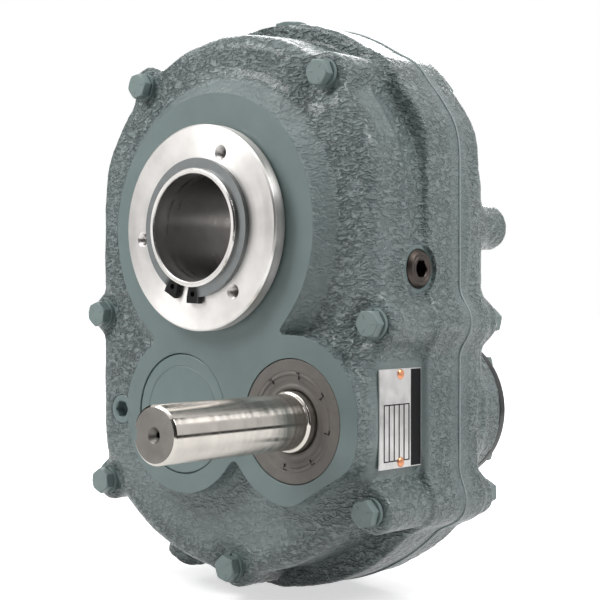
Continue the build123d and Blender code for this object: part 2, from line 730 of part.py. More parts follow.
# Input shaft with its own pinion and an open keyway at the driven end
input_pinion_front = first_gear_front - pinion_overlap
input_pinion_back = first_gear_back + pinion_overlap
with BuildPart() as input_shaft:
    toothed(input_axis, input_teeth, 180 + 180 / input_teeth, input_pinion_front, input_pinion_back)
    input_root_radius = module * input_teeth / 2 - module - root_clearance
    turned(input_axis, [
        (0, -input_shaft_tip), (input_shaft_radius - shaft_end_chamfer, -input_shaft_tip),
        (input_shaft_radius, shaft_end_chamfer - input_shaft_tip), (input_shaft_radius, -input_step),
        (shaft_journal_radius, -input_step), (shaft_journal_radius, -input_bearing_inner_y),
        (shaft_shoulder_radius, -input_bearing_inner_y), (shaft_shoulder_radius, input_pinion_front),
        (input_root_radius, input_pinion_front), (input_root_radius, input_pinion_back),
        (shaft_shoulder_radius, input_pinion_back), (shaft_shoulder_radius, input_bearing_inner_y),
        (shaft_journal_radius, input_bearing_inner_y),
        (shaft_journal_radius, bearing_outer_y - shaft_end_chamfer),
        (shaft_journal_radius - shaft_end_chamfer, bearing_outer_y), (0, bearing_outer_y)],
        side=keyway_side)
    bar(input_x + keyway_side * input_shaft_radius, input_z, 2 * input_keyway_depth, input_keyway_width,
        -input_shaft_tip, input_keyway_length - input_shaft_tip)
    with Locations(Plane((input_x, -input_shaft_tip, input_z), x_dir=(1, 0, 0), z_dir=(0, -1, 0))):
        CounterSinkHole(centre_hole_radius, centre_hole_sink, depth=centre_hole_depth)
save(input_shaft, "input_shaft")

# Bearings: name, shaft line, bore, outside, roller count, and where each one sits
bearings = [
    ("front_hub_bearing", hub_axis, hub_journal_radius, hub_bearing_radius, hub_rollers,
     -bearing_outer_y, -hub_bearing_inner_y, 1),
    ("rear_hub_bearing", hub_axis, hub_journal_radius, hub_bearing_radius, hub_rollers,
     hub_bearing_inner_y, bearing_outer_y, -1),
    ("front_counter_bearing", counter_axis, shaft_journal_radius, shaft_bearing_radius,
     shaft_rollers, -counter_bearing_outer_y, -counter_bearing_inner_y, 1),
    ("rear_counter_bearing", counter_axis, shaft_journal_radius, shaft_bearing_radius,
     shaft_rollers, counter_bearing_inner_y, counter_bearing_outer_y, -1),
    ("front_input_bearing", input_axis, shaft_journal_radius, shaft_bearing_radius,
     shaft_rollers, -bearing_outer_y, -input_bearing_inner_y, 1),
    ("rear_input_bearing", input_axis, shaft_journal_radius, shaft_bearing_radius,
     shaft_rollers, input_bearing_inner_y, bearing_outer_y, -1)]
for name, centre, bore, outside, count, start, end, opens in bearings:
    with BuildPart() as bearing_cup:
        cup(centre, bore, outside, start, end, opens)
    save(bearing_cup, f"{name}_cup")
    with BuildPart() as bearing_cone:
        cone(centre, bore, outside, start, end, opens)
    save(bearing_cone, f"{name}_cone")
    with BuildPart() as bearing_rollers:
        rollers(centre, count, bore, outside, start, end, opens)
    save(bearing_rollers, f"{name}_rollers")

# Oil seals
for name, out in (("front_hub_seal", -1), ("rear_hub_seal", 1)):
    with BuildPart() as hub_seal:
        lip_seal(hub_axis, hub_journal_radius, hub_seal_radius, out * seal_face_y, out * seal_back_y)
    save(hub_seal, name)

with BuildPart() as input_seal:
    lip_seal(input_axis, shaft_journal_radius, shaft_bearing_radius, -seal_face_y, -seal_back_y,
             [(seal_step_radius, seal_step - seal_face_y), (seal_step_radius, -seal_face_y)])
save(input_seal, "input_seal")

# Bushing backing plates and the rings that keep them on the hub
with BuildPart() as front_backing_plate:
    turned(hub_axis, [
        (hub_end_radius + fit_gap, -plate_face_y), (plate_radius - plate_chamfer, -plate_face_y),
        (plate_radius, plate_chamfer - plate_face_y), (plate_radius, -plate_back_y - plate_chamfer),
        (plate_radius - plate_chamfer, -plate_back_y), (hub_end_radius + fit_gap, -plate_back_y)])
    with Locations(station(-plate_face_y)):
        with PolarLocations(plate_hole_circle / 2, plate_holes, start_angle=plate_hole_angle):
            CounterSinkHole(plate_hole_radius, plate_countersink_radius)
save(front_backing_plate, "front_backing_plate")

with BuildPart() as rear_backing_plate:
    mirror(front_backing_plate.part, about=Plane.XZ)
save(rear_backing_plate, "rear_backing_plate")

ear_turn = degrees((ring_gap + ring_ear_width) / 2 / ring_radius)
with BuildPart() as front_retaining_ring:
    with BuildSketch(station(-ring_face_y)):
        Circle(ring_radius)
        for side in (-1, 1):
            with Locations(Location((0, 0, 0), (0, 0, ring_gap_angle + side * ear_turn))):
                with Locations((ring_ear_reach / 2, 0)):
                    Rectangle(ring_ear_reach, ring_ear_width)
        Circle(groove_radius + fit_gap, mode=Mode.SUBTRACT)
        with Locations(Location((0, 0, 0), (0, 0, ring_gap_angle))):
            with Locations((ring_ear_reach, 0)):
                Rectangle(2 * ring_ear_reach, ring_gap, mode=Mode.SUBTRACT)
        for side in (-1, 1):
            with Locations(Location((0, 0, 0), (0, 0, ring_gap_angle + side * ear_turn))):
                with Locations(((ring_ear_reach + groove_radius) / 2, 0)):
                    Circle(ring_ear_hole_radius, mode=Mode.SUBTRACT)
    extrude(amount=-ring_thickness)
save(front_retaining_ring, "front_retaining_ring")

with BuildPart() as rear_retaining_ring:
    mirror(front_retaining_ring.part, about=Plane.XZ)
save(rear_retaining_ring, "rear_retaining_ring")

# Countershaft cap and shims
with BuildPart() as countershaft_cap:
    tube(counter_axis, 0, cap_radius - fit_gap, -boss_half_depth, -cap_seat_y)
save(countershaft_cap, "countershaft_cap")

with BuildPart() as countershaft_shims:
    tube(counter_axis, (shaft_journal_radius + shaft_bearing_radius) / 2,
         shaft_bearing_radius - fit_gap, -cap_seat_y, -counter_bearing_outer_y)
save(countershaft_shims, "countershaft_shims")

# Backstop cover: the cavity behind the input shaft takes an optional one-way clutch
with BuildPart() as backstop_gasket:
    tube(input_axis, backstop_cavity_radius, backstop_radius - gasket_inset, backstop_face_y,
         backstop_cover_y)
    drill(screw_places, backstop_screw_radius + fit_gap, backstop_face_y, backstop_cover_y)
save(backstop_gasket, "backstop_gasket")

with BuildPart() as backstop_cover:
    turned(input_axis, [
        (0, backstop_cover_y), (backstop_radius, backstop_cover_y),
        (backstop_radius, backstop_end_y - backstop_cover_chamfer),
        (backstop_radius - backstop_cover_chamfer, backstop_end_y), (0, backstop_end_y)])
    drill(screw_places, backstop_screw_radius + fit_gap, backstop_cover_y, backstop_end_y)
save(backstop_cover, "backstop_cover")

with BuildPart() as backstop_screws_set:
    for place in screw_places:
        hexagon(place, backstop_screw_flats, backstop_end_y, backstop_end_y + backstop_screw_head)
        tube(place, 0, backstop_screw_radius, backstop_face_y - backstop_screw_grip, backstop_end_y)
save(backstop_screws_set, "backstop_screws")

# Oil plugs
with BuildPart() as side_plug:
    socket_plug((body_half_width + plug_stand, side_plug_y, side_plug_z), (1, 0, 0), plug_radius,
                plug_length, plug_flats, plug_chamfer)
save(side_plug, "side_plug")

with BuildPart() as level_plug:
    socket_plug((level_plug_x, -rough_half_depth, level_plug_z), (0, -1, 0), small_plug_radius,
                small_plug_length, plug_flats, small_plug_chamfer)
save(level_plug, "level_plug")

with BuildPart() as drain_plug:
    socket_plug(drain_face + drain_direction * drain_stand, drain_direction, small_plug_radius,
                plug_length, plug_flats, plug_chamfer)
save(drain_plug, "drain_plug")

with BuildPart() as breather_plug:
    stub((0, breather_y, breather_boss_top - breather_thread_length), (0, 0, 1),
         breather_thread_radius, breather_thread_length)
    stub((0, breather_y, breather_boss_top), (0, 0, 1), breather_neck_radius, breather_neck_height)
    with BuildSketch(Plane((0, breather_y, breather_boss_top + breather_neck_height), z_dir=(0, 0, 1))):
        RegularPolygon(breather_flats / 2, 6, major_radius=False)
    extrude(amount=breather_head_height)
save(breather_plug, "breather_plug")

# Nameplate and its drive rivets
with BuildPart() as nameplate:
    with BuildSketch(Plane((body_half_width, 0, 0), x_dir=(0, 1, 0), z_dir=(1, 0, 0))):
        with Locations(((nameplate_front + nameplate_back) / 2, (nameplate_low + nameplate_high) / 2)):
            RectangleRounded(nameplate_back - nameplate_front, nameplate_high - nameplate_low,
                             nameplate_corner)
        with Locations(*rivet_places):
            Circle(rivet_radius + fit_gap, mode=Mode.SUBTRACT)
    extrude(amount=nameplate_thickness)
save(nameplate, "nameplate")

with BuildPart() as nameplate_rivets:
    for y, z in rivet_places:
        stub((body_half_width + nameplate_thickness, y, z), (-1, 0, 0), rivet_radius, rivet_length)
        stub((body_half_width + nameplate_thickness, y, z), (1, 0, 0), rivet_head_radius,
             rivet_head_height)
save(nameplate_rivets, "nameplate_rivets")
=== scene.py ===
import math
import bmesh
import bpy
import numpy as np
import openvdb
from mathutils import Matrix, Vector, noise


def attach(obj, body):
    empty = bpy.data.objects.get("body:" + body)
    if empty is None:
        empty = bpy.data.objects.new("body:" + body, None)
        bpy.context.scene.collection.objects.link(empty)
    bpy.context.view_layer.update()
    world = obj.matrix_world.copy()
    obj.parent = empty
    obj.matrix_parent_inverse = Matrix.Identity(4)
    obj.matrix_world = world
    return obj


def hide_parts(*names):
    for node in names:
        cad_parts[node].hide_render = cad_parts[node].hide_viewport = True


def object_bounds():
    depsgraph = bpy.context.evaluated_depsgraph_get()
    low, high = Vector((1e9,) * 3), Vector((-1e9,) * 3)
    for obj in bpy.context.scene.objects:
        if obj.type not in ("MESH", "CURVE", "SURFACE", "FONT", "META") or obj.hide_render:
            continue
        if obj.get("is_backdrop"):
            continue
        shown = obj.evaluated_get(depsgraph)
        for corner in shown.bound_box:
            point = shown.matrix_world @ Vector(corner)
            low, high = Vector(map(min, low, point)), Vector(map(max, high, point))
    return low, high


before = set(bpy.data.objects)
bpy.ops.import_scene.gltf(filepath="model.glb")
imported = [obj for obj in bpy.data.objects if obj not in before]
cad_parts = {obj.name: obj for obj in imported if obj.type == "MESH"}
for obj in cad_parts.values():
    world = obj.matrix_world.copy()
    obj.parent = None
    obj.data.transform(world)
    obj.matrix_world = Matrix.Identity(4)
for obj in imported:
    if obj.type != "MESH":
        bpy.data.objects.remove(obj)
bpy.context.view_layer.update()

# Lengths below are in millimetres, in the part's own frame
MM = 0.001
voxel = 1.25
field_band = 3 * voxel
far = 250.0

# Casing
rough_depth = 57.5
boss_depth = 70.0
wall = 8.0
body_half_width, body_top_radius, body_low_radius = 112.0, 117.0, 130.0
flange_half_width, flange_top_radius, flange_low_radius = 116.0, 128.5, 144.0
low_centre_z = -77.0
middle_z = low_centre_z / 2
flange_front, flange_back = -11.0, 43.0
front_joint, back_joint = 21.1, 21.9
past_joint = 90.0
machining = 3.0
body_edge, lug_edge, flange_edge, pad_edge = 10.0, 3.5, 2.5, 1.5
lug_blend, boss_blend = 9.0, 6.0
bolt_places = [(-73.6, 92.2), (74.2, 86.9), (-111.8, -52.1), (110.5, -55.4),
               (-108.4, -159.9), (107.1, -160.7), (2.4, -203.5)]
bolt_turns = [8, 52, 20, 0, 33, 14, 45]
body_lug_radius, flange_lug_radius = 12.8, 13.8
spotface_radius, bolt_hole_radius, bolt_column_radius = 9.6, 5.2, 11.0
dish_radius, dish_flare = 11.0, 1.7
front_seat, back_seat = 52.0, 54.0
hub_axis = (0.0, 0.0)
counter_axis = (-23.6, -111.275)
input_axis = (63.9, -111.275)
hub_boss_radius, hub_skirt_radius = 80.0, 91.0
counter_boss_radius, input_boss_radius = 48.0, 49.0
boss_root, skirt_root = 54.0, 30.0
input_flat, input_flat_angle = 42.4, math.radians(-60)
input_teeth, gear_module, pressure_angle = 15, 2.5, math.radians(25)
breather_y, breather_boss_radius, breather_boss_top = 4.0, 16.5, 127.3
side_plug_y, side_plug_z, side_boss_radius, side_boss_height = -16.0, -24.5, 19.0, 1.5
side_spot_radius, side_spot_x = 14.0, 113.4
level_plug = (-90.5, -112.7)
drain_y, drain_angle, drain_boss_radius, drain_reach = -27.0, math.radians(245), 13.5, 12.0
drain_way = (math.cos(drain_angle), 0, math.sin(drain_angle))
backstop_face, backstop_radius = 74.0, 46.0
rear_lug_x, rear_lug_z, rear_lug_radius, rear_lug_top = 100.0, 2.0, 14.0, 77.0

# Bores: radii and depths. Cutters overlap by overcut; -1 is the front half, 1 the rear
overcut = 0.1
hub_bearing_radius, hub_opening_radius, hub_bore_start, hub_shoulder = 57.5, 50.0, 37.5, 59.5
counter_bearing_radius, counter_bore_start, counter_bore_end = 36.0, {-1: 44.0, 1: 43.5}, 62.3
cap_bore_radius, cap_seat = 36.5, 65.0
input_bearing_radius, input_bore_start = 36.0, {-1: 38.7, 1: 41.2}
input_front_lip_radius, input_front_shoulder = 33.5, 41.2
input_rear_lip_radius, input_rear_shoulder = 33.0, 59.5
plug_bore_radius, breather_bore_radius, side_plug_bore_radius, lug_thread_radius = 9.35, 6.55, 11.45, 5.1

# Pieces on the casing: sizes, and the places of their faces along Y or Z
bolt_flats, bolt_radius, bolt_head, bolt_collar, bolt_flange = 14.3, 4.76, -60.5, -54.9, -54.3
bolt_end, nut_base, nut_top = 67.5, 56.3, 64.5
cover_face, cover_back = 81.8, 74.8
screw_circle, screw_flats, screw_top = 40.0, 10.0, 85.8
nameplate_front, nameplate_back, nameplate_low, nameplate_high = -51.5, -12.4, -137.0, -81.0
nameplate_y = (nameplate_front + nameplate_back) / 2
nameplate_z = (nameplate_low + nameplate_high) / 2
nameplate_face = body_half_width + 0.8
rivet_inset = 3.2

# Turning pieces: radii, and half lengths or places along Y
hub_half_length, hub_end_radius, hub_journal_radius, hub_groove_radius = 86.0, 35.0, 37.5, 33.6
plate_back, plate_face, plate_inner, plate_outer = 71.0, 80.0, 35.05, 61.0
plate_screw_circle, plate_screw_turn = 47.0, 67.0
shaft_radius, shaft_tip, shaft_step, key_half_width = 15.875, -177.0, -74.0, 3.175


def from_axis(x, z, axis):
    """Distance from the line along Y through axis (x, z)."""
    return np.hypot(x - axis[0], z - axis[1])


def smooth_union(a, b, blend):
    share = np.clip(0.5 + 0.5 * (b - a) / blend, 0, 1)
    return b + (a - b) * share - blend * share * (1 - share)


def smooth_overlap(a, b, blend):
    return -smooth_union(-a, -b, blend)


def slab(outline, y, start, end, edge):
    """Carry a flat outline's distance from start to end along y, with edges rounded to edge."""
    depth = np.abs(y - (start + end) / 2) - (end - start) / 2 + edge
    side = outline + edge
    outside = np.hypot(np.maximum(side, 0), np.maximum(depth, 0))
    return outside + np.minimum(np.maximum(side, depth), 0) - edge


def casing_outline(x, z, half_width, top, low):
    """Distance to the round-topped casing outline."""
    above = np.where(z > 0, np.hypot(x, z) - top, np.abs(x) - top)
    below = np.where(z < low_centre_z, np.hypot(x, z - low_centre_z) - low, np.abs(x) - low)
    sides = smooth_overlap(np.abs(x) - half_width, above, 6)
    return smooth_overlap(sides, below, 10)


def lugs(x, z, outline, radius, blend):
    for place in bolt_places:
        outline = smooth_union(outline, from_axis(x, z, place) - radius, blend)
    return outline


def triangle(x, z, corners):
    """Distance, rough outside, to a triangle given counter-clockwise seen from the front."""
    distance = -1e9
    for (ax, az), (bx, bz) in zip(corners, corners[1:] + corners[:1]):
        length = math.hypot(bx - ax, bz - az)
        edge = ((x - ax) * (bz - az) - (z - az) * (bx - ax)) / length
        distance = np.maximum(distance, edge)
    return distance


def boss_outline(x, z):
    """Machined boss: round about the hub, joined to a round boss about each lower shaft."""
    hub = np.hypot(x, z) - hub_boss_radius
    counter = from_axis(x, z, counter_axis) - counter_boss_radius
    drive = from_axis(x, z, input_axis) - input_boss_radius
    flat = ((x - input_axis[0]) * math.cos(input_flat_angle)
            + (z - input_axis[1]) * math.sin(input_flat_angle) - input_flat)
    drive = smooth_overlap(drive, flat, 3)
    web = triangle(x, z, [hub_axis, counter_axis, input_axis])
    outline = np.minimum(smooth_union(hub, counter, lug_blend), web)
    outline = smooth_union(outline, drive, lug_blend)
    return np.maximum(outline, np.abs(x) - body_half_width)


def casting(side):
    """Distance field of one half's rough casting. side is -1 for the front half, 1 for the rear."""
    margin = voxel * 4
    y_low, y_high = (-boss_depth - machining, front_joint + 4) if side < 0 else (
        back_joint - 4, rear_lug_top + machining)
    low = np.array([-flange_half_width - 22, y_low - margin, low_centre_z - flange_low_radius - 12])
    high = np.array([flange_half_width + 22, y_high + margin, flange_top_radius + 16])
    x, y, z = (low[i] + voxel * np.arange(int((high[i] - low[i]) / voxel) + 1) for i in range(3))
    x, y, z = x[:, None, None], y[None, :, None], z[None, None, :]
    joint_side = -side * past_joint
    seat = front_seat if side < 0 else back_seat
    flange_face = flange_front if side < 0 else flange_back
    body = casing_outline(x, z, body_half_width, body_top_radius, body_low_radius)
    flange = casing_outline(x, z, flange_half_width, flange_top_radius, flange_low_radius)
    solid = slab(body, y, *sorted((side * rough_depth, joint_side)), body_edge)
    for place in bolt_places:
        reach = from_axis(x, z, place)
        lug = slab(reach - body_lug_radius, y, *sorted((side * seat, joint_side)), lug_edge)
        solid = smooth_union(solid, lug, lug_blend)
        rise = side * y - seat
        dish = reach - dish_radius - dish_flare * np.maximum(rise, 0)
        solid = smooth_overlap(solid, -np.maximum(dish / 2, -rise), 3)
    rim = lugs(x, z, flange, flange_lug_radius, lug_blend)
    rim = slab(rim, y, *sorted((flange_face, joint_side)), flange_edge)
    solid = smooth_union(solid, rim, flange_edge)
    radius = np.hypot(x, z)
    slope = (hub_skirt_radius - hub_boss_radius) / (boss_depth - rough_depth)
    cone = (radius - hub_boss_radius - (boss_depth - side * y) * slope) / math.hypot(1, slope)
    skirt = np.maximum(np.maximum(cone, side * y - boss_depth - machining), skirt_root - side * y)
    boss_ends = sorted((side * (boss_depth + machining), side * boss_root))
    boss = slab(boss_outline(x, z), y, *boss_ends, 0.5)
    solid = smooth_union(solid, np.minimum(skirt, boss), boss_blend)
    if side < 0:
        top = np.maximum(np.hypot(x, y - breather_y) - breather_boss_radius,
                         np.maximum(z - breather_boss_top - machining, 80 - z))
        solid = smooth_union(solid, top, boss_blend)
        pad = np.hypot(y - side_plug_y, z - side_plug_z) - side_boss_radius
        pad = slab(pad, x, 80, body_half_width + side_boss_height, pad_edge)
        solid = smooth_union(solid, pad, 1)
        along = x * drain_way[0] + (z - low_centre_z) * drain_way[2]
        across = np.hypot(x * drain_way[2] - (z - low_centre_z) * drain_way[0], y - drain_y)
        spout = np.maximum(across - drain_boss_radius,
                           np.maximum(along - body_low_radius - drain_reach - machining, 90 - along))
        solid = smooth_union(solid, spout, boss_blend)
    else:
        for turn in (-1, 1):
            lug = from_axis(x, z, (turn * rear_lug_x, rear_lug_z)) - rear_lug_radius
            solid = smooth_union(solid, slab(lug, y, 20, rear_lug_top, flange_edge), boss_blend)
    field = np.clip(solid, -field_band, field_band).astype(np.float32)
    grid = openvdb.FloatGrid(field_band)
    grid.copyFromArray(field)
    points, _, quads = grid.convertToPolygons(isovalue=0.0, adaptivity=0.0)
    return points * voxel + low, [tuple(reversed(face)) for face in quads.tolist()]


def between(value, start, end):
    """0 before start, 1 after end, smooth between."""
    share = np.clip((value - start) / (end - start), 0, 1)
    return share * share * (3 - 2 * share)


def roughness_mask(points):
    """1 where the casting's skin is coarse, 0 where it is machined or was dressed smooth."""
    x, y, z = points.T
    near_joint = np.minimum(np.abs(y - front_joint), np.abs(y - back_joint))
    mask = 0.3 + 0.7 * between(near_joint, 5, 11)
    mask *= 1 - 0.35 * between(np.abs(x), 100, 110)
    outside = -casing_outline(x, z, body_half_width, body_top_radius, body_low_radius)
    lower = between(-z, 120, 150) * between(outside, 6, 20)
    mask *= 1 - 0.6 * lower
    nameplate = np.maximum(np.abs(y - nameplate_y) - 23, np.abs(z - nameplate_z) - 31)
    mask *= 1 - (x > 100) * (1 - between(nameplate, -1, 5))
    dressed = np.hypot((y + 33) / 13, (z - 66) / 17) + 9 * (x < 70)
    mask *= 0.25 + 0.75 * between(dressed, 0.7, 1.2)
    radius = np.hypot(x, z)
    skirt = (y < -59) * between(hub_skirt_radius + 0.5 - radius, 0, 3) * (radius > hub_boss_radius - 1)
    return mask * (1 - 0.8 * skirt)


def link(name, mesh):
    piece = bpy.data.objects.new(name, mesh)
    bpy.context.scene.collection.objects.link(piece)
    return piece


def solid(name, points, faces):
    """A mesh object from points in millimetres, with its faces turned outward."""
    mesh = bpy.data.meshes.new(name)
    mesh.from_pydata([tuple(co * MM for co in point) for point in points], [], faces)
    shape = bmesh.new()
    shape.from_mesh(mesh)
    bmesh.ops.recalc_face_normals(shape, faces=shape.faces)
    shape.to_mesh(mesh)
    shape.free()
    return link(name, mesh)


def prism(name, outline, ends):
    """A solid from a flat outline of (x, z) points, carried along Y between its ends."""
    count = len(outline)
    points = [(x, y, z) for y in ends for x, z in outline]
    faces = [tuple(range(count)), tuple(range(count, 2 * count))]
    faces += [(i, (i + 1) % count, count + (i + 1) % count, count + i) for i in range(count)]
    return solid(name, points, faces)


def basis(direction):
    """Two unit vectors square to direction."""
    direction = Vector(direction).normalized()
    side = Vector((0, 0, 1)) if abs(direction.z) < 0.9 else Vector((1, 0, 0))
    first = direction.cross(side).normalized()
    return direction, first, direction.cross(first).normalized()


def soften(profile, size, closed, steps=3):
    """Round the corners of a (radius, distance) profile."""
    count = len(profile)
    rounded = []
    for index, point in enumerate(profile):
        here = Vector(point)
        at_end = not closed and index in (0, count - 1)
        before = Vector(profile[index - 1]) - here
        after = Vector(profile[(index + 1) % count]) - here
        reach = min(size, before.length * 0.4, after.length * 0.4)
        if at_end or here.x < 1e-6 or reach < 1e-4:
            rounded.append(tuple(here))
            continue
        start = here + before.normalized() * reach
        end = here + after.normalized() * reach
        for step in range(steps + 1):
            share = step / steps
            rounded.append(tuple(start * (1 - share) ** 2 + here * 2 * share * (1 - share)
                                 + end * share ** 2))
    return rounded


def lathe(name, centre, profile, direction=(0, 1, 0), segments=128, edge=0.3, radius_at=None):
    """A turned solid. profile runs from the axis to the axis, or round a ring.

    radius_at(angle, radius, distance) may change the radius, as for a hexagon."""
    ring = min(point[0] for point in profile) > 1e-6
    outline = soften(profile, edge, ring) if edge else list(profile)
    axis, first, second = basis(direction)
    centre = Vector(centre)
    points, rows = [], []
    for radius, distance in outline:
        if radius < 1e-6:
            rows.append([len(points)] * segments)
            points.append(centre + axis * distance)
            continue
        row = []
        for step in range(segments):
            angle = 2 * math.pi * step / segments
            r = radius_at(angle, radius, distance) if radius_at else radius
            row.append(len(points))
            points.append(centre + axis * distance + first * (r * math.cos(angle))
                          + second * (r * math.sin(angle)))
        rows.append(row)
    faces = []
    pairs = list(zip(rows, rows[1:])) + ([(rows[-1], rows[0])] if ring else [])
    for low_row, high_row in pairs:
        for step in range(segments):
            after = (step + 1) % segments
            face = [low_row[step], low_row[after], high_row[after], high_row[step]]
            face = [v for i, v in enumerate(face) if v not in face[:i]]
            if len(face) > 2:
                faces.append(face)
    return solid(name, points, faces)


def block(name, low, high):
    """A box between two corners."""
    points = [(x, y, z) for x in (low[0], high[0]) for y in (low[1], high[1]) for z in (low[2], high[2])]
    faces = [(0, 1, 3, 2), (4, 6, 7, 5), (0, 4, 5, 1), (2, 3, 7, 6), (0, 2, 6, 4), (1, 5, 7, 3)]
    return solid(name, points, faces)


def rod(centre, radius, start, end, direction=(0, 1, 0), segments=96):
    """A plain round cutter."""
    return lathe("cutter", centre, [(0, start), (radius, start), (radius, end), (0, end)],
                 direction, segments, edge=0)


def combine(piece, tools, operation="DIFFERENCE"):
    """Cut tools from piece, or join them to it, and delete them."""
    for tool in tools:
        change = piece.modifiers.new("change", "BOOLEAN")
        change.operation = operation
        change.object = tool
        change.solver = "MANIFOLD"
    apply(piece)
    for tool in tools:
        bpy.data.objects.remove(tool)


def apply(piece):
    """Make the piece's modifiers part of its mesh."""
    bpy.context.view_layer.update()
    final = bpy.data.meshes.new_from_object(
        piece.evaluated_get(bpy.context.evaluated_depsgraph_get()))
    piece.modifiers.clear()
    piece.data = final


def shade(piece, angle=32):
    """Smooth shading with sharp edges where faces turn by more than angle degrees."""
    for face in piece.data.polygons:
        face.use_smooth = True
    piece.data.set_sharp_from_angle(angle=math.radians(angle))


def points_of(piece):
    """The mesh's points as rows, in millimetres."""
    points = np.empty(len(piece.data.vertices) * 3)
    piece.data.vertices.foreach_get("co", points)
    return points.reshape(-1, 3) / MM


def finished(piece, angle, *looks):
    """The piece, shaded and painted."""
    shade(piece, angle)
    dress(piece, *looks)
    return piece


def roughen(piece):
    """Lumps and dips of a sand casting, as real shape, where the skin is coarse."""
    points = points_of(piece)
    normals = np.empty(len(points) * 3)
    piece.data.vertices.foreach_get("normal", normals)
    mask = roughness_mask(points)
    worn = 0.25 + 0.75 * mask
    lift = np.array([0.3 * noise.noise(Vector(p) / 3.3) for p in points]) * mask
    lift += np.array([0.55 * noise.noise(Vector(p) / 19 + Vector((9, 4, 2))) for p in points]) * worn
    points += normals.reshape(-1, 3) * lift[:, None]
    piece.data.vertices.foreach_set("co", (points * MM).ravel())
    piece.data.update()


# Materials
paint_rounding = 0.7


class Nodes:
    """A short way to build a node tree."""

    def __init__(self, name, **settings):
        self.material = bpy.data.materials.new(name)
        self.material.use_nodes = True
        self.tree = self.material.node_tree
        self.shader = self.tree.nodes["Principled BSDF"]
        for socket, value in settings.items():
            self.shader.inputs[socket.replace("_", " ")].default_value = value

    def add(self, kind, inputs=None, **settings):
        node = self.tree.nodes.new("ShaderNode" + kind)
        for key, value in settings.items():
            setattr(node, key, value)
        for key, value in (inputs or {}).items():
            if isinstance(value, bpy.types.NodeSocket):
                self.tree.links.new(value, node.inputs[key])
            else:
                node.inputs[key].default_value = value
        return node

    def place(self, scale=(1, 1, 1), turn=(0, 0, 0)):
        position = self.add("TexCoord").outputs["Object"]
        inputs = {"Vector": position, "Scale": scale, "Rotation": turn}
        return self.add("Mapping", inputs).outputs["Vector"]

    def noise(self, scale, detail=3.0, roughness=0.5, distortion=0.0, vector=None):
        inputs = {"Vector": vector or self.place(), "Scale": scale, "Detail": detail,
                  "Roughness": roughness, "Distortion": distortion}
        return self.add("TexNoise", inputs).outputs["Fac"]

    def math(self, operation, a, b=0.0, clamp=False):
        return self.add("Math", {0: a, 1: b}, operation=operation, use_clamp=clamp).outputs[0]

    def spread(self, value, low, high, new_low, new_high):
        inputs = {"Value": value, "From Min": low, "From Max": high, "To Min": new_low, "To Max": new_high}
        return self.add("MapRange", inputs).outputs["Result"]

    def mix(self, share, a, b):
        node = self.add("Mix", data_type="RGBA")
        for key, value in ((0, share), (6, a), (7, b)):
            if isinstance(value, bpy.types.NodeSocket):
                self.tree.links.new(value, node.inputs[key])
            else:
                node.inputs[key].default_value = value
        return node.outputs[2]

    def bump(self, height, distance, strength=1.0, normal=None):
        inputs = {"Height": height, "Distance": distance * MM, "Strength": strength}
        if normal:
            inputs["Normal"] = normal
        return self.add("Bump", inputs).outputs["Normal"]

    def wire(self, socket, value):
        self.tree.links.new(value, self.shader.inputs[socket])

    def clouded(self, clouds, start, first, second):
        """Base colour that drifts from first to second with a noise."""
        self.wire("Base Color", self.mix(self.spread(clouds, start, 0.7, 0, 1), first, second))

    def roughened(self, scale, low, high):
        self.wire("Roughness", self.spread(self.noise(scale), 0.3, 0.7, low, high))

    def grained(self, scale, height, strength=0.5, normal=None):
        self.wire("Normal", self.bump(self.noise(scale, 2), height, strength, normal))


def srgb(red, green, blue):
    """A colour given in the 0 to 255 steps of a screen."""
    steps = [value / 255 for value in (red, green, blue)]
    linear = [step / 12.92 if step <= 0.04045 else ((step + 0.055) / 1.055) ** 2.4 for step in steps]
    return (*linear, 1)


def shaded(base, share):
    """A colour brought down to a share of itself."""
    return tuple(channel * share for channel in base[:3]) + (1,)


def rough_paint():
    """Enamel over coarse sand casting: short slanting ridges, with a painted highlight on their tops and
    painted shade between them.
    """
    make = Nodes("rough_paint", Coat_Weight=0.22, Coat_Roughness=0.14, Specular_IOR_Level=0.4)
    mask = make.add("Attribute", attribute_name="coarse").outputs["Fac"]
    calm = make.spread(make.noise(28, 3, 0.6), 0.36, 0.56, 0.6, 1.0)
    mask = make.math("MULTIPLY", mask, calm)
    slant = make.place((0.55, 0.55, 1.0), (0.3, -0.4, 0.0))
    ridges = make.spread(make.noise(470, 1, 0.5, 0.9, slant), 0.36, 0.64, 0.0, 1.0)
    grains = make.noise(800, 2, 0.5)
    height = make.math("ADD", make.math("MULTIPLY", ridges, 0.8), make.math("MULTIPLY", grains, 0.3))
    base = make.mix(make.spread(make.noise(22, 3, 0.6), 0.3, 0.7, 0.0, 1.0),
                    srgb(104, 117, 116), srgb(116, 129, 128))
    # Painted shade: the valleys between the ridges are darkened in the base colour.
    painted_shade_in_valleys = make.math("MULTIPLY", mask, make.spread(height, 0.5, 0.15, 0.0, 0.85))
    base = make.mix(painted_shade_in_valleys, base, srgb(58, 70, 70))
    # Painted highlight: the ridge tops are lightened in the base colour, standing in for glints.
    painted_highlight_on_ridges = make.math("MULTIPLY", mask, make.spread(height, 0.65, 1.0, 0.0, 0.5))
    make.wire("Base Color", make.mix(painted_highlight_on_ridges, base, srgb(156, 169, 167)))
    make.wire("Roughness", make.spread(make.noise(120, 2), 0.3, 0.7, 0.26, 0.38))
    edges = make.add("Bevel", {"Radius": paint_rounding * MM}, samples=4).outputs["Normal"]
    fine = make.bump(make.noise(1000, 2, 0.5), 0.04, 0.4, edges)
    relief = make.math("MULTIPLY", height, make.math("ADD", make.math("MULTIPLY", mask, 0.92), 0.08))
    make.wire("Normal", make.bump(relief, 2.5, 1.0, fine))
    return make.material


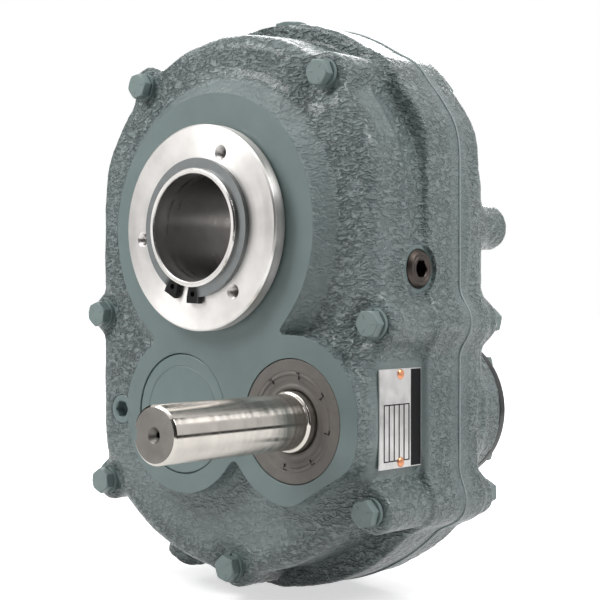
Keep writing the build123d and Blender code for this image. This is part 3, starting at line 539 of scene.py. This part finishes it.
def smooth_paint(name, base, roughness=0.38):
    """Enamel over machined or dressed metal: a fine orange peel."""
    make = Nodes(name, Coat_Weight=0.1, Coat_Roughness=0.25, Specular_IOR_Level=0.4)
    low, high = (srgb(*[value + step for value in base]) for step in (-5, 5))
    make.clouded(make.noise(30, 4, 0.6), 0.3, low, high)
    make.roughened(200, roughness - 0.05, roughness + 0.08)
    edges = make.add("Bevel", {"Radius": paint_rounding * MM}, samples=4).outputs["Normal"]
    make.grained(700, 0.05, 0.5, edges)
    return make.material


def turned_metal(name, base, roughness, centre, anisotropic=0.0, streak=0.02):
    """Bright metal cut on a lathe about an axis along Y through centre (x, z)."""
    make = Nodes(name, Metallic=1.0, Anisotropic=anisotropic, Anisotropic_Rotation=0.25)
    place = make.add("TexCoord").outputs["Object"]
    parts = make.add("SeparateXYZ", {"Vector": place})
    x = make.math("SUBTRACT", parts.outputs["X"], centre[0] * MM)
    z = make.math("SUBTRACT", parts.outputs["Z"], centre[1] * MM)
    squares = make.math("ADD", make.math("MULTIPLY", x, x), make.math("MULTIPLY", z, z))
    radius = make.math("SQRT", squares)
    rings = make.add("CombineXYZ", {"X": radius, "Y": parts.outputs["Y"]}).outputs["Vector"]
    lines = make.noise(2600, 2, 0.6, vector=rings)
    bands = make.noise(260, 2, 0.5, vector=rings)
    smudge = make.noise(45, 4, 0.6)
    make.clouded(smudge, 0.35, base, shaded(base, 0.82))
    rough = make.math("ADD", make.spread(bands, 0.3, 0.7, roughness - 0.06, roughness + 0.06),
                      make.spread(smudge, 0.4, 0.7, 0, 0.06))
    make.wire("Roughness", rough)
    make.wire("Normal", make.bump(lines, streak, 0.6))
    if anisotropic:
        round_axis = make.add("Tangent", direction_type="RADIAL", axis="Y")
        make.wire("Tangent", round_axis.outputs["Tangent"])
    return make.material


def plain_metal(name, base, roughness, grain=0.02):
    """Metal with a faint grain and smudges."""
    make = Nodes(name, Metallic=1.0)
    make.clouded(make.noise(60, 4, 0.6), 0.35, base, shaded(base, 0.75))
    make.roughened(150, roughness - 0.05, roughness + 0.1)
    make.grained(1500, grain)
    return make.material


def ring_steel():
    """Spring steel, ground grey on its round face and black at the ears beside its gap."""
    make = Nodes("ring_steel", Metallic=1.0, Roughness=0.42)
    place = make.add("TexCoord").outputs["Object"]
    turn = math.radians(255)
    gap = Vector((math.cos(turn), 0, math.sin(turn))) * 42 * MM
    away = make.add("VectorMath", {0: place, 1: gap}, operation="SUBTRACT").outputs[0]
    flat = make.add("VectorMath", {0: away, 1: (1, 0, 1)}, operation="MULTIPLY").outputs[0]
    reach = make.add("VectorMath", {0: flat}, operation="LENGTH").outputs["Value"]
    ear = make.spread(reach, 0.013, 0.017, 1.0, 0.0)
    mottle = make.mix(make.noise(140, 4, 0.6), (0.2, 0.21, 0.21, 1), (0.13, 0.14, 0.14, 1))
    make.wire("Base Color", make.mix(ear, mottle, (0.02, 0.02, 0.02, 1)))
    make.grained(1500, 0.03)
    return make.material


def soft_matter(name, base, roughness, shine=0.5):
    """Moulded rubber, gasket paper or plastic."""
    make = Nodes(name, Specular_IOR_Level=shine)
    make.clouded(make.noise(160, 4, 0.6), 0.3, base, shaded(base, 0.8))
    make.roughened(90, roughness - 0.06, roughness + 0.1)
    make.grained(1200, 0.03)
    return make.material


finish = {
    "cast": rough_paint(),
    "smooth": smooth_paint("smooth_paint", (106, 122, 121)),
    "cap": smooth_paint("cap_paint", (110, 127, 126), 0.34),
    "bolt": smooth_paint("bolt_paint", (116, 132, 130), 0.36),
    # Lighter than the casing paint: a painted highlight along the casing joint, which the backstop gasket
    # shares.
    "gasket": smooth_paint("gasket_paint_lightened_as_highlight", (150, 160, 160), 0.5),
    "stop": smooth_paint("cover_paint", (34, 36, 36), 0.3),
    "plate": turned_metal("turned_plate", (0.64, 0.62, 0.6, 1), 0.34, hub_axis, 0.85),
    "hub": turned_metal("turned_hub", (0.62, 0.6, 0.58, 1), 0.2, hub_axis),
    "bore": turned_metal("bored_hub", (0.38, 0.37, 0.36, 1), 0.3, hub_axis, 0.7, 0.03),
    "shaft": turned_metal("ground_shaft", (0.53, 0.5, 0.46, 1), 0.18, input_axis, 0.9, 0.0015),
    "shaft_end": plain_metal("sawn_shaft_end", (0.2, 0.19, 0.175, 1), 0.45, 0.06),
    "spring": ring_steel(),
    "bronze": plain_metal("dark_plug_steel", (0.075, 0.062, 0.055, 1), 0.34),
    "black": soft_matter("black_plastic", (0.012, 0.012, 0.013, 1), 0.45, 0.25),
    "rubber": soft_matter("seal_rubber", srgb(106, 101, 96), 0.5),
    "dark_rubber": soft_matter("hub_seal_rubber", srgb(48, 46, 44), 0.5),
    "copper": plain_metal("copper", (0.75, 0.33, 0.18, 1), 0.3),
    "foil": plain_metal("nameplate_foil", (0.74, 0.73, 0.72, 1), 0.35),
    "ink": soft_matter("black_ink", (0.008, 0.008, 0.009, 1), 0.4, 0.12),
    "gear": plain_metal("gear_steel", (0.42, 0.41, 0.4, 1), 0.3),
    "race": plain_metal("bearing_steel", (0.62, 0.62, 0.63, 1), 0.16),
    "shim": plain_metal("shim_steel", (0.6, 0.57, 0.5, 1), 0.3),
}


def dress(piece, *names):
    """Give the piece these finishes as its material slots."""
    piece.data.materials.clear()
    for name in names:
        piece.data.materials.append(finish[name])


def seat(piece, body, slot, *nodes):
    """Set the piece on its body in place of CAD nodes. slot is not used."""
    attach(piece, body)
    if nodes:
        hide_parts(*nodes)


def at(axis, y=0.0):
    """The point on a shaft line (x, z) at y."""
    return (axis[0], y, axis[1])


def trace(outline, count):
    """count directions round the casing's middle, and how far the outline is in each."""
    turns = np.linspace(0, 2 * math.pi, count, endpoint=False)
    near, beyond = np.zeros(count), np.full(count, 300.0)
    for _ in range(30):
        middle = (near + beyond) / 2
        inside = outline(middle * np.cos(turns), middle * np.sin(turns) + middle_z) < 0
        near, beyond = np.where(inside, middle, near), np.where(inside, beyond, middle)
    return turns, near


def cavity_solid(side, joint):
    """The hollow inside one half, less the metal round the bolts and bearings."""
    turns, radii = trace(lambda x, z: casing_outline(
        x, z, body_half_width - wall, body_top_radius - wall, body_low_radius - wall), 96)
    outline = [(radius * math.cos(turn), radius * math.sin(turn) + middle_z)
               for radius, turn in zip(radii, turns)]
    cavity = prism("cavity", outline, (side * (rough_depth - wall), joint - side))
    shells = [(hub_axis, hub_bearing_radius, hub_bore_start),
              (counter_axis, counter_bearing_radius, counter_bore_start[side]),
              (input_axis, input_bearing_radius, input_bore_start[side])]
    tools = [rod(at(place), bolt_column_radius, -past_joint, past_joint, segments=24)
             for place in bolt_places]
    tools += [rod(at(axis), radius + wall, *sorted((side * start, side * 60)), segments=64)
              for axis, radius, start in shells]
    combine(cavity, tools)
    return cavity


def bores(side):
    """Cutters for everything that is bored, drilled or spotfaced in one half."""
    def step(axis, radius, start, end, segments=160):
        return rod(at(axis), radius, *sorted((side * start, side * end)), segments=segments)

    out = past_joint
    counter_start = counter_bore_start[side] - overcut
    input_start = input_bore_start[side] - overcut
    tools = [step(hub_axis, hub_opening_radius, hub_shoulder - overcut, out),
             step(hub_axis, hub_bearing_radius, hub_bore_start - overcut, hub_shoulder)]
    if side < 0:
        side_plug = (0, side_plug_y, side_plug_z)
        tools += [step(counter_axis, cap_bore_radius, cap_seat, out),
                  step(counter_axis, counter_bearing_radius, counter_start, cap_seat + overcut),
                  step(input_axis, input_bearing_radius, input_front_shoulder, out),
                  step(input_axis, input_front_lip_radius, input_start, input_front_shoulder + overcut),
                  rod(at(level_plug), plug_bore_radius, -out, -45),
                  rod((0, breather_y, 0), breather_bore_radius, 100, 150, (0, 0, 1)),
                  rod(side_plug, side_plug_bore_radius, 95, 130, (1, 0, 0)),
                  rod(side_plug, side_spot_radius, side_spot_x, 130, (1, 0, 0)),
                  rod((0, drain_y, low_centre_z), plug_bore_radius, 120, 160, drain_way)]
    else:
        tools += [step(counter_axis, counter_bearing_radius, counter_start, counter_bore_end),
                  step(input_axis, input_bearing_radius, input_start, input_rear_shoulder + overcut),
                  step(input_axis, input_rear_lip_radius, input_rear_shoulder, out)]
        tools += [step((turn * rear_lug_x, rear_lug_z), lug_thread_radius, 53, out, 48)
                  for turn in (-1, 1)]
    seat_depth = front_seat if side < 0 else back_seat
    for place in bolt_places:
        tools += [step(place, spotface_radius, seat_depth, seat_depth + 4, 64),
                  step(place, bolt_hole_radius, -40, 60, 32)]
    return tools


def half_housing(side):
    """One half of the casing: a rough casting, then its machined faces, bores and seats."""
    points, faces = casting(side)
    piece = solid("front_casting" if side < 0 else "rear_casting", points, faces)
    roughen(piece)
    if side < 0:
        tools = [block("cutter", (-far, -far, -far), (far, -boss_depth, far)),
                 block("cutter", (-far, front_joint, -far), (far, far, far)),
                 block("cutter", (-40, -40, breather_boss_top), (40, 40, far)),
                 rod((0, drain_y, low_centre_z), 30, body_low_radius + drain_reach, far, drain_way)]
        combine(piece, tools)
    else:
        tools = [block("cutter", (-far, -far, -far), (far, back_joint, far))]
        tools += [rod(at(axis), radius, boss_depth, far) for axis, radius in
                  ((hub_axis, 83), (counter_axis, 56), (input_axis, 58))]
        combine(piece, tools)
        combine(piece, [rod(at(input_axis), backstop_radius, 60, backstop_face, segments=160)], "UNION")
    combine(piece, [cavity_solid(side, front_joint if side < 0 else back_joint)])
    combine(piece, bores(side))
    coat_casting(piece, side)
    shade(piece, 40)
    return piece


def coat_casting(piece, side):
    """Coarse paint on the cast skin, smooth paint on machined faces."""
    dress(piece, "cast", "smooth")
    piece.data.attributes.new("coarse", "FLOAT", "POINT").data.foreach_set(
        "value", roughness_mask(points_of(piece)).astype(np.float32))
    faces = piece.data.polygons
    centre, normal = np.empty(len(faces) * 3), np.empty(len(faces) * 3)
    faces.foreach_get("center", centre)
    faces.foreach_get("normal", normal)
    x, y, z = (centre.reshape(-1, 3) / MM).T
    facing = np.abs(normal.reshape(-1, 3)[:, 1]) > 0.995
    close = 0.05
    level = np.abs(y)
    planes = (-boss_depth, boss_depth, backstop_face, front_joint, back_joint)
    machined = facing & np.any([np.abs(y - plane) < close for plane in planes], axis=0)
    machined |= np.abs(z - breather_boss_top) < close
    side_plug = np.hypot(y - side_plug_y, z - side_plug_z)
    machined |= (np.abs(x - side_spot_x) < close) & (side_plug < side_spot_radius + overcut)
    for axis, radius in ((hub_axis, hub_bearing_radius), (counter_axis, cap_bore_radius),
                         (input_axis, input_bearing_radius)):
        machined |= from_axis(x, z, axis) < radius + overcut
    seat_depth = front_seat if side < 0 else back_seat
    for place in bolt_places:
        machined |= (from_axis(x, z, place) < spotface_radius + close) & (level > seat_depth - overcut)
    faces.foreach_set("material_index", machined.astype(np.int32))


def join(name, pieces):
    """Several meshes as one, with their materials."""
    shape = bmesh.new()
    slots = []
    for piece in pieces:
        moved = []
        for material in piece.data.materials:
            if material not in slots:
                slots.append(material)
            moved.append(slots.index(material))
        first = len(shape.faces)
        shape.from_mesh(piece.data)
        shape.faces.ensure_lookup_table()
        for face in shape.faces[first:]:
            face.material_index = moved[face.material_index] if moved else 0
    mesh = bpy.data.meshes.new(name)
    shape.to_mesh(mesh)
    shape.free()
    for material in slots:
        mesh.materials.append(material)
    for piece in pieces:
        bpy.data.objects.remove(piece)
    return link(name, mesh)


def hexagon(flats, turn, chamfers):
    """radius_at for a hexagon whose ends are chamfered; chamfers are (distance, inward) pairs."""
    def radius_at(angle, radius, distance):
        if radius < flats * 0.45:
            return radius
        sector = (angle + turn) % (math.pi / 3) - math.pi / 6
        side = flats / 2 / math.cos(sector)
        for plane, inward in chamfers:
            side = min(side, flats / 2 * 0.97 + (distance - plane) * inward * 1.8)
        return side
    return radius_at


def hex_head(centre, flats, start, end, turn, direction=(0, 1, 0), bore=0.0, chamfers=None):
    """A hexagon head or nut between start and end, with a chamfer cut on a lathe at its free ends."""
    chamfers = chamfers or [(start, 1)]
    rise = [start + (end - start) * step / 14 for step in range(15)]
    rim = [(flats / 2, distance) for distance in rise]
    inner = [(bore, start), (bore, end)] if bore else [(0, start), (0, end)]
    profile = [inner[0], (flats * 0.46, start)] + rim + [(flats * 0.46, end), inner[1]]
    return lathe("head", centre, profile, direction, 120, 0, hexagon(flats, turn, chamfers))


# Casing halves
front_casting = half_housing(-1)
seat(front_casting, "housing", "casing_paint", "front_housing")
rear_casting = half_housing(1)
seat(rear_casting, "housing", "casing_paint", "rear_housing")


def joint_bead():
    """Painted gasket, squeezed a little proud all round the joint; its paint is lighter than the casing's,
    a painted highlight along the joint.
    """
    def rim(x, z):
        flange = casing_outline(x, z, flange_half_width, flange_top_radius, flange_low_radius)
        return lugs(x, z, flange, flange_lug_radius, lug_blend)

    count = 480
    turns, radii = trace(rim, count)
    section = [(-7, front_joint), (-0.1, front_joint), (0.3, front_joint - 0.25),
               (0.7, front_joint - 0.05), (0.85, (front_joint + back_joint) / 2),
               (0.7, back_joint + 0.05), (0.3, back_joint + 0.25), (-0.1, back_joint), (-7, back_joint)]
    points = [((radius + reach) * math.cos(turn), y, (radius + reach) * math.sin(turn) + middle_z)
              for radius, turn in zip(radii, turns) for reach, y in section]
    faces = []
    size = len(section)
    for index in range(count):
        here, after = index * size, (index + 1) % count * size
        for step in range(size):
            turn = (step + 1) % size
            faces.append((here + step, here + turn, after + turn, after + step))
    return finished(solid("joint_bead", points, faces), 50, "gasket")


seat(joint_bead(), "housing", "gasket", "housing_gasket")


def turned_bar(low, high, angle, axis):
    """A small bar, turned by angle about a shaft line."""
    bar = block("mark", low, high)
    bar.data.transform(Matrix.Rotation(-angle, 4, "Y"))
    bar.data.transform(Matrix.Translation(Vector(at(axis)) * MM))
    return bar


# Bolts and nuts
def bolt(place, turn):
    head = hex_head(at(place), bolt_flats, bolt_head, bolt_collar, turn)
    collar = lathe("collar", at(place), [(0, bolt_collar), (6.9, bolt_collar), (6.9, bolt_flange),
                                         (0, bolt_flange)], segments=48)
    start = bolt_flange - overcut
    shank = lathe("shank", at(place), [(0, start), (bolt_radius, start), (bolt_radius, bolt_end - 0.8),
                                       (bolt_radius - 0.8, bolt_end), (0, bolt_end)], segments=32, edge=0)
    marks = [turned_bar((3.2, bolt_head - 0.12, -0.35), (5.6, bolt_head + 0.1, 0.35),
                        turn + math.radians(120 * index), place) for index in range(3)]
    return join("bolt", [finished(piece, 25, "bolt") for piece in (head, collar, shank, *marks)])


def nut(place, turn):
    ends = [(nut_top, -1), (nut_base, 1)]
    piece = hex_head(at(place), bolt_flats, nut_base, nut_top, turn, bore=4.8, chamfers=ends)
    return finished(piece, 25, "bolt")


turns = [math.radians(turn) for turn in bolt_turns]
bolts = join("casing_bolts", [bolt(place, turn) for place, turn in zip(bolt_places, turns)])
seat(bolts, "housing", "painted_fastener", "housing_bolts")
nuts = join("casing_nuts", [nut(place, turn + 0.3) for place, turn in zip(bolt_places, turns)])
seat(nuts, "housing", "painted_fastener", "housing_nuts")


# Output hub
def hub():
    groove, end, journal = hub_groove_radius, hub_end_radius, hub_journal_radius
    half, shoulder, gear_seat = hub_half_length, plate_back, 40.5
    outside = [(end - 0.8, -half), (end, 0.8 - half), (end, -83.2), (groove, -83.2), (groove, -plate_face),
               (end, -plate_face), (end, -shoulder), (journal, -shoulder), (journal, -37.5),
               (gear_seat, -37.5), (gear_seat, -6), (gear_seat - 1, -6), (gear_seat - 1, 34), (journal, 34),
               (journal, shoulder), (end, shoulder), (end, plate_face), (groove, plate_face),
               (groove, 83.2), (end, 83.2), (end, half - 0.8), (end - 0.8, half)]
    inside = [(32.2, half), (31.6, half - 0.6), (30.194, 41), (30.194, -41), (31.6, 0.6 - half),
              (32.2, -half)]
    piece = lathe("hub_sleeve", (0, 0, 0), outside + inside, segments=192, edge=0.12)
    finished(piece, 20, "hub", "bore")
    for face in piece.data.polygons:
        spot = face.center / MM
        if math.hypot(spot.x, spot.z) < 32.1 and abs(spot.y) < half - 0.1:
            face.material_index = 1
    return piece


seat(hub(), "output_rotor", "turned_steel", "output_hub")


def screw_thread(side):
    """Cutter profile of a countersunk tapped hole through the backing plate."""
    hole = [(0, plate_face + 1), (5.7, plate_face + 1), (4.6, plate_face), (3.3, plate_face - 1.2)]
    for thread in range(7):
        start = plate_face - 1.4 - thread * 1.1
        hole += [(3.6, start), (3.15, start - 0.55)]
    hole += [(3.15, plate_back - 1), (0, plate_back - 1)]
    return [(radius, side * distance) for radius, distance in hole]


def backing_plate(side):
    inner, outer, back, face = plate_inner, plate_outer, plate_back, plate_face
    profile = [(inner + 0.5, face), (inner, face - 0.5), (inner, back), (outer - 1, back),
               (outer, back + 1), (outer, face - 1.1), (outer - 1.1, face)]
    profile = [(radius, side * distance) for radius, distance in profile]
    name = "front_plate" if side < 0 else "rear_plate"
    piece = lathe(name, (0, 0, 0), profile, segments=256, edge=0.15)
    tools = []
    for turn in range(3):
        angle = math.radians(plate_screw_turn + 120 * turn)
        place = (plate_screw_circle * math.cos(angle), 0, plate_screw_circle * math.sin(angle))
        tools.append(lathe("cutter", place, screw_thread(side), segments=48, edge=0))
    combine(piece, tools)
    return finished(piece, 25, "plate")


seat(backing_plate(-1), "output_rotor", "turned_steel", "front_backing_plate")
seat(backing_plate(1), "output_rotor", "turned_steel", "rear_backing_plate")


# Input shaft, with its own pinion, a keyway and a centre hole
def pinion(start, end):
    """Straight-cut involute teeth about the input shaft."""
    pitch = gear_module * input_teeth / 2
    root, base, tip = pitch - 1.25 * gear_module, pitch * math.cos(pressure_angle), pitch + gear_module
    flank = math.tan(pressure_angle) - pressure_angle
    outline = []
    for tooth in range(input_teeth):
        middle = math.pi + (2 * tooth + 1) * math.pi / input_teeth
        half = math.pi / (2 * input_teeth) + flank - 0.06 / pitch
        side = [(root, half + 0.02)]
        for step in range(7):
            radius = max(base, root) + (tip - max(base, root)) * step / 6
            bend = math.acos(min(1, base / radius))
            side.append((radius, half - math.tan(bend) + bend))
        outline += [(radius, middle - turn) for radius, turn in side]
        outline += [(radius, middle + turn) for radius, turn in reversed(side)]
    outline = [(input_axis[0] + radius * math.cos(turn), input_axis[1] + radius * math.sin(turn))
               for radius, turn in outline]
    return prism("pinion", outline, (start, end))


def drive_shaft():
    radius, tip, step, bearing, shoulder = shaft_radius, shaft_tip, shaft_step, 17.5, 20.5
    profile = [(0, tip), (radius - 1.375, tip), (radius, tip + 1.3), (radius, step - 0.6),
               (16.2, step - 0.3), (16.9, step), (bearing, step + 0.6), (bearing, -41.2),
               (shoulder, -41.2), (shoulder, -36), (15.6, -36), (15.6, -8), (shoulder, -8),
               (shoulder, 41.2), (bearing, 41.2), (bearing, 58.3), (16.3, 59.5), (0, 59.5)]
    piece = lathe("drive_shaft", at(input_axis), profile, segments=192, edge=0.25)
    left = input_axis[0] - radius
    slot = block("cutter", (left - 5, tip - 5, input_axis[1] - key_half_width),
                 (left + 3.2, tip + 70, input_axis[1] + key_half_width))
    centre = [(0, tip - 1), (5.4, tip - 1), (4.4, tip), (1.6, tip + 3.2), (1.6, tip + 9), (0, tip + 10)]
    combine(piece, [slot, lathe("cutter", at(input_axis), centre, segments=48, edge=0)])
    combine(piece, [pinion(-36.5, -7.5)], "UNION")
    finished(piece, 20, "shaft", "shaft_end")
    for face in piece.data.polygons:
        spot = face.center / MM
        reach = math.hypot(spot.x - input_axis[0], spot.z - input_axis[1])
        if reach < 5.3 or (spot.y < tip + 0.05 and reach < radius - 1.275):
            face.material_index = 1
    return piece


seat(drive_shaft(), "input_rotor", "turned_steel", "input_shaft")


def drive_seal():
    """Lip seal with a stepped face, moulded rings and eight moulding marks: black bars that paint the shade
    of moulded notches.
    """
    profile = [(17.6, -66.2), (18.4, -68.6), (19.6, -69.2), (20.6, -68.9), (21.4, -68.4), (22.6, -68.5),
               (24.0, -69.0), (26.2, -69.15), (26.6, -69.75), (27.6, -69.8), (28.1, -69.45),
               (28.8, -69.5), (29.2, -69.75), (35.2, -69.75), (35.75, -69.2), (35.75, -60.25),
               (33, -60.25), (33, -66.5), (22, -66.5), (19.2, -61), (17.6, -61)]
    face = lathe("drive_seal", at(input_axis), profile, segments=160, edge=0.25)
    marks = []
    for index in range(8):
        angle = math.radians(33 + 45 * index)
        for inner, height in ((24.6, 0.28), (27.6, 2.4)):
            mark = turned_bar((inner, -69.86, -0.28), (28.2, -69.3, height), angle, input_axis)
            # Painted shade: the black of these bars stands for the shadow inside each notch.
            dress(mark, "black")
            marks.append(mark)
    return join("drive_seal_face", [finished(face, 30, "rubber"), *marks])


seat(drive_seal(), "housing", "seal_rubber", "input_seal")


def shaft_cap():
    profile = [(0, -69.6), (28.3, -69.6), (28.5, -69.35), (28.9, -69.35), (29.1, -69.6), (35.4, -69.6),
               (36.1, -69.0), (36.1, -cap_seat), (0, -cap_seat)]
    return finished(lathe("bore_cap", at(counter_axis), profile, segments=192, edge=0.12), 25, "cap")


seat(shaft_cap(), "housing", "cap_paint", "countershaft_cap")


def socket_plug(name, origin, direction, radius, length, look, bevel, ring=0.0):
    """Round plug with a hexagon socket; origin is the middle of its outer face."""
    profile = [(0, 0), (radius - bevel, 0), (radius, -bevel), (radius, -length), (0, -length)]
    if ring:
        profile[1:2] = [(ring - 0.3, 0), (ring, -0.35), (ring + 0.3, 0), (radius - bevel, 0)]
    piece = lathe(name, origin, profile, direction, 96, 0.2)
    socket = lathe("cutter", origin, [(0, 1), (5.485, 1), (5.485, -7), (0, -8.2)], direction, 6, 0)
    flare = lathe("cutter", origin, [(0, 0.2), (5.9, 0.2), (5.1, -0.6), (0, -0.6)], direction, 48, 0)
    combine(piece, [socket, flare])
    return finished(piece, 28, look)


drain_face = Vector((0, drain_y, low_centre_z)) + Vector(drain_way) * (body_low_radius + drain_reach + 4)
seat(socket_plug("side_oil_plug", (body_half_width + 4, side_plug_y, side_plug_z), (1, 0, 0), 11.4, 14,
                 "bronze", 2.0, 7.4), "housing", "dark_steel", "side_plug")
seat(socket_plug("oil_level_plug", (level_plug[0], -rough_depth, level_plug[1]), (0, -1, 0), 9.3, 10,
                 "cap", 0.5), "housing", "cap_paint", "level_plug")
seat(socket_plug("oil_drain_plug", drain_face, drain_way, 9.3, 14, "black", 1.5),
     "housing", "black_plug", "drain_plug")


def breather():
    base, up, top = (0, breather_y, 0), (0, 0, 1), breather_boss_top
    head = hex_head(base, 19.0, top + 0.8, top + 4, 0.2, up, chamfers=[(top + 4, -1)])
    profile = [(0, top - 16), (6.5, top - 16), (6.5, top), (7.5, top), (7.5, top + 0.9), (0, top + 0.9)]
    neck = lathe("neck", base, profile, up, 48, 0.1)
    return join("breather_cap", [finished(piece, 25, "bolt") for piece in (head, neck)])


seat(breather(), "housing", "painted_fastener", "breather_plug")


# Nameplate: bare of words, with a black band, ruled columns and two copper rivets
def data_plate():
    face, front, back = nameplate_face, nameplate_front, nameplate_back
    low, high = nameplate_low, nameplate_high
    plate = block("plate", (body_half_width + 0.02, front, low), (face, back, high))
    under, over = face - 0.2, face + 0.05
    inked = [block("band", (under, -22.3, low + 0.5), (over, back - 0.4, high - 0.5))]
    rule_low, rule_high = -132.8, -101.2
    for index in range(6):
        y = -47.2 + index * 4.62
        inked.append(block("rule", (under, y - 0.5, rule_low), (over, y + 0.5, rule_high)))
    for z in (rule_high, rule_low):
        inked.append(block("rule", (under, -47.7, z - 0.35), (over, -23.6, z + 0.35)))
    return join("data_plate", [finished(plate, 30, "foil")] + [finished(part, 30, "ink") for part in inked])


seat(data_plate(), "housing", "plate_aluminium", "nameplate")


def rivet(z):
    profile = [(0, -5), (1.6, -5), (1.6, 0), (2.9, 0), (2.8, 0.45), (2.3, 0.85), (1.4, 1.1), (0, 1.2)]
    piece = lathe("rivet", (nameplate_face, nameplate_y, z), profile, (1, 0, 0), 32, 0.05)
    return finished(piece, 50, "copper")


rivets = join("plate_rivets", [rivet(nameplate_high - rivet_inset), rivet(nameplate_low + rivet_inset)])
seat(rivets, "housing", "copper_rivet", "nameplate_rivets")


# Backstop cover and its screws
def cover():
    face, radius = cover_face, backstop_radius
    profile = [(0, face), (20, face), (20.6, face - 0.5), (21.4, face - 0.5), (22, face),
               (radius - 1.5, face), (radius, face - 1.5), (radius, cover_back), (0, cover_back)]
    return finished(lathe("stop_cover", at(input_axis), profile, segments=160, edge=0.3), 25, "stop")


seat(cover(), "housing", "cap_paint", "backstop_cover")


def cover_screw(turn):
    place = (input_axis[0] + screw_circle * math.cos(turn), input_axis[1] + screw_circle * math.sin(turn))
    head = hex_head(at(place), screw_flats, cover_face, screw_top, turn, chamfers=[(screw_top, -1)])
    end = cover_face + overcut
    shank = lathe("shank", at(place), [(0, 62), (3, 62), (3, end), (0, end)], segments=24, edge=0)
    return join("screw", [finished(piece, 25, "bolt") for piece in (head, shank)])


screws = join("cover_screws", [cover_screw(math.radians(45 + 90 * turn)) for turn in range(4)])
seat(screws, "housing", "painted_fastener", "backstop_screws")

# Finishes of the pieces that keep their solids
kept = {
    "bolt": ["housing_lock_washers"],
    "gasket": ["backstop_gasket"],
    "dark_rubber": ["front_hub_seal", "rear_hub_seal"],
    "spring": ["front_retaining_ring", "rear_retaining_ring"],
    "shim": ["countershaft_shims"],
    "gear": ["output_gear", "output_gear_key", "output_gear_spacer", "countershaft", "first_gear",
             "first_gear_key", "first_gear_spacer", "dowel_pins"],
}
for look, names in kept.items():
    for name in names:
        dress(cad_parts[name], look)
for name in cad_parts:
    if "_bearing_" in name:
        dress(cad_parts[name], "race")


# Floor, light and camera
def seen(make):
    """1 for the rays that see a surface or the world directly, in a mirror or through glass."""
    path = make.add("LightPath").outputs
    direct = make.math("MAXIMUM", path["Is Camera Ray"], path["Is Glossy Ray"])
    return make.math("MAXIMUM", direct, path["Is Transmission Ray"])


class WorldNodes(Nodes):
    """The same short way for the world."""

    def __init__(self, name):
        self.material = bpy.data.worlds.new(name)
        bpy.context.scene.world = self.material
        self.material.use_nodes = True
        self.tree = self.material.node_tree
        self.shader = self.tree.nodes["Background"]


def daylight(level):
    """A white world to look at, which lights the object at level."""
    make = WorldNodes("studio")
    make.shader.inputs["Color"].default_value = (1, 1, 1, 1)
    make.wire("Strength", make.spread(seen(make), 0.0, 1.0, level, 1.0))


def lamp(name, place, target, size, power):
    data = bpy.data.lights.new(name, "AREA")
    data.shape = "RECTANGLE"
    data.size, data.size_y = size
    data.energy = power
    piece = link(name, data)
    piece.location = Vector(place)
    piece.rotation_euler = (Vector(target) - Vector(place)).to_track_quat("-Z", "Y").to_euler()


def dark_card(name, corners):
    """A dark card which only shiny surfaces see."""
    card = solid(name, [Vector(corner) / MM for corner in corners], [(0, 1, 2, 3)])
    make = Nodes(name, Roughness=1.0)
    make.shader.inputs["Base Color"].default_value = (0.02, 0.02, 0.02, 1)
    card.data.materials.append(make.material)
    card.visible_camera = card.visible_diffuse = card.visible_shadow = False
    card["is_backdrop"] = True


def floor():
    """Pale floor, white away from the object, with the object's shadow beside it."""
    low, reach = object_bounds()[0][2] / MM, 9000
    piece = block("floor", (-reach, -reach, low - 20), (reach, reach, low - 0.5))
    make = Nodes("floor_card", Roughness=0.9)
    make.shader.inputs["Base Color"].default_value = (0.7, 0.7, 0.7, 1)
    make.shader.inputs["Emission Color"].default_value = (1, 1, 1, 1)
    place = make.add("TexCoord").outputs["Object"]
    away = make.add("VectorMath", {0: place}, operation="LENGTH").outputs["Value"]
    white = make.spread(away, 0.25, 0.75, 0.6, 1.0)
    make.wire("Emission Strength", make.math("MULTIPLY", seen(make), white))
    piece.data.materials.append(make.material)
    piece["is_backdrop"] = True


# Place and size of each lamp in metres, and its power in watts
world_level = 0.16
lamp_target = (0, 0, -0.05)
lamps = {
    "key": ((-1.08, -1.24, 0.44), (0.9, 0.9), 1.3),
    "key_near": ((-0.42, -0.62, 0.6), (0.4, 0.4), 5.8),
    "side_high": ((1.2, 0.2, 1.1), (0.7, 0.7), 17),
    "top": ((0.1, -0.7, 1.6), (1.0, 1.0), 6.5),
    "rear": ((-1.0, 1.4, 0.8), (0.9, 0.9), 16),
}

# Corners of the dark cards, in metres
cards = {
    "camera_side": [(1.62, -0.57, -0.2), (0.34, -1.69, -0.2), (0.34, -1.69, 1.1), (1.62, -0.57, 1.1)],
    "left_side": [(-1.5, -0.7, -0.2), (-1.5, 1.1, -0.2), (-1.5, 1.1, 0.9), (-1.5, -0.7, 0.9)],
    "high_strip": [(0.488, -1.0, 0.685), (0.594, -1.0, 0.619), (0.594, 3.0, 0.619), (0.488, 3.0, 0.685)],
    "low_strip": [(0.412, -1.0, -0.182), (0.412, -1.0, -0.114), (0.412, 3.0, -0.114),
                  (0.412, 3.0, -0.182)],
}


def studio():
    daylight(world_level)
    floor()
    for name, corners in cards.items():
        dark_card(name, corners)
    for name, (place, size, power) in lamps.items():
        lamp(name, place, lamp_target, size, power)


def camera():
    """The camera that the photograph's round faces give."""
    place = Vector((615.0, -704.7, -37.9)) * MM
    ahead = Vector((-0.6510, 0.7590, -0.0053)).normalized()
    right = Vector((0.7590, 0.6510, 0.0))
    right = (right - ahead * right.dot(ahead)).normalized()
    up = right.cross(ahead)
    data = bpy.data.cameras.new("camera")
    data.sensor_width, data.lens = 36.0, 89.1
    data.clip_start = 0.01
    piece = link("camera", data)
    turn = Matrix((right, up, -ahead)).transposed().to_4x4()
    piece.matrix_world = Matrix.Translation(place) @ turn
    bpy.context.scene.camera = piece


studio()
camera()
bpy.context.scene.view_settings.view_transform = "Standard"
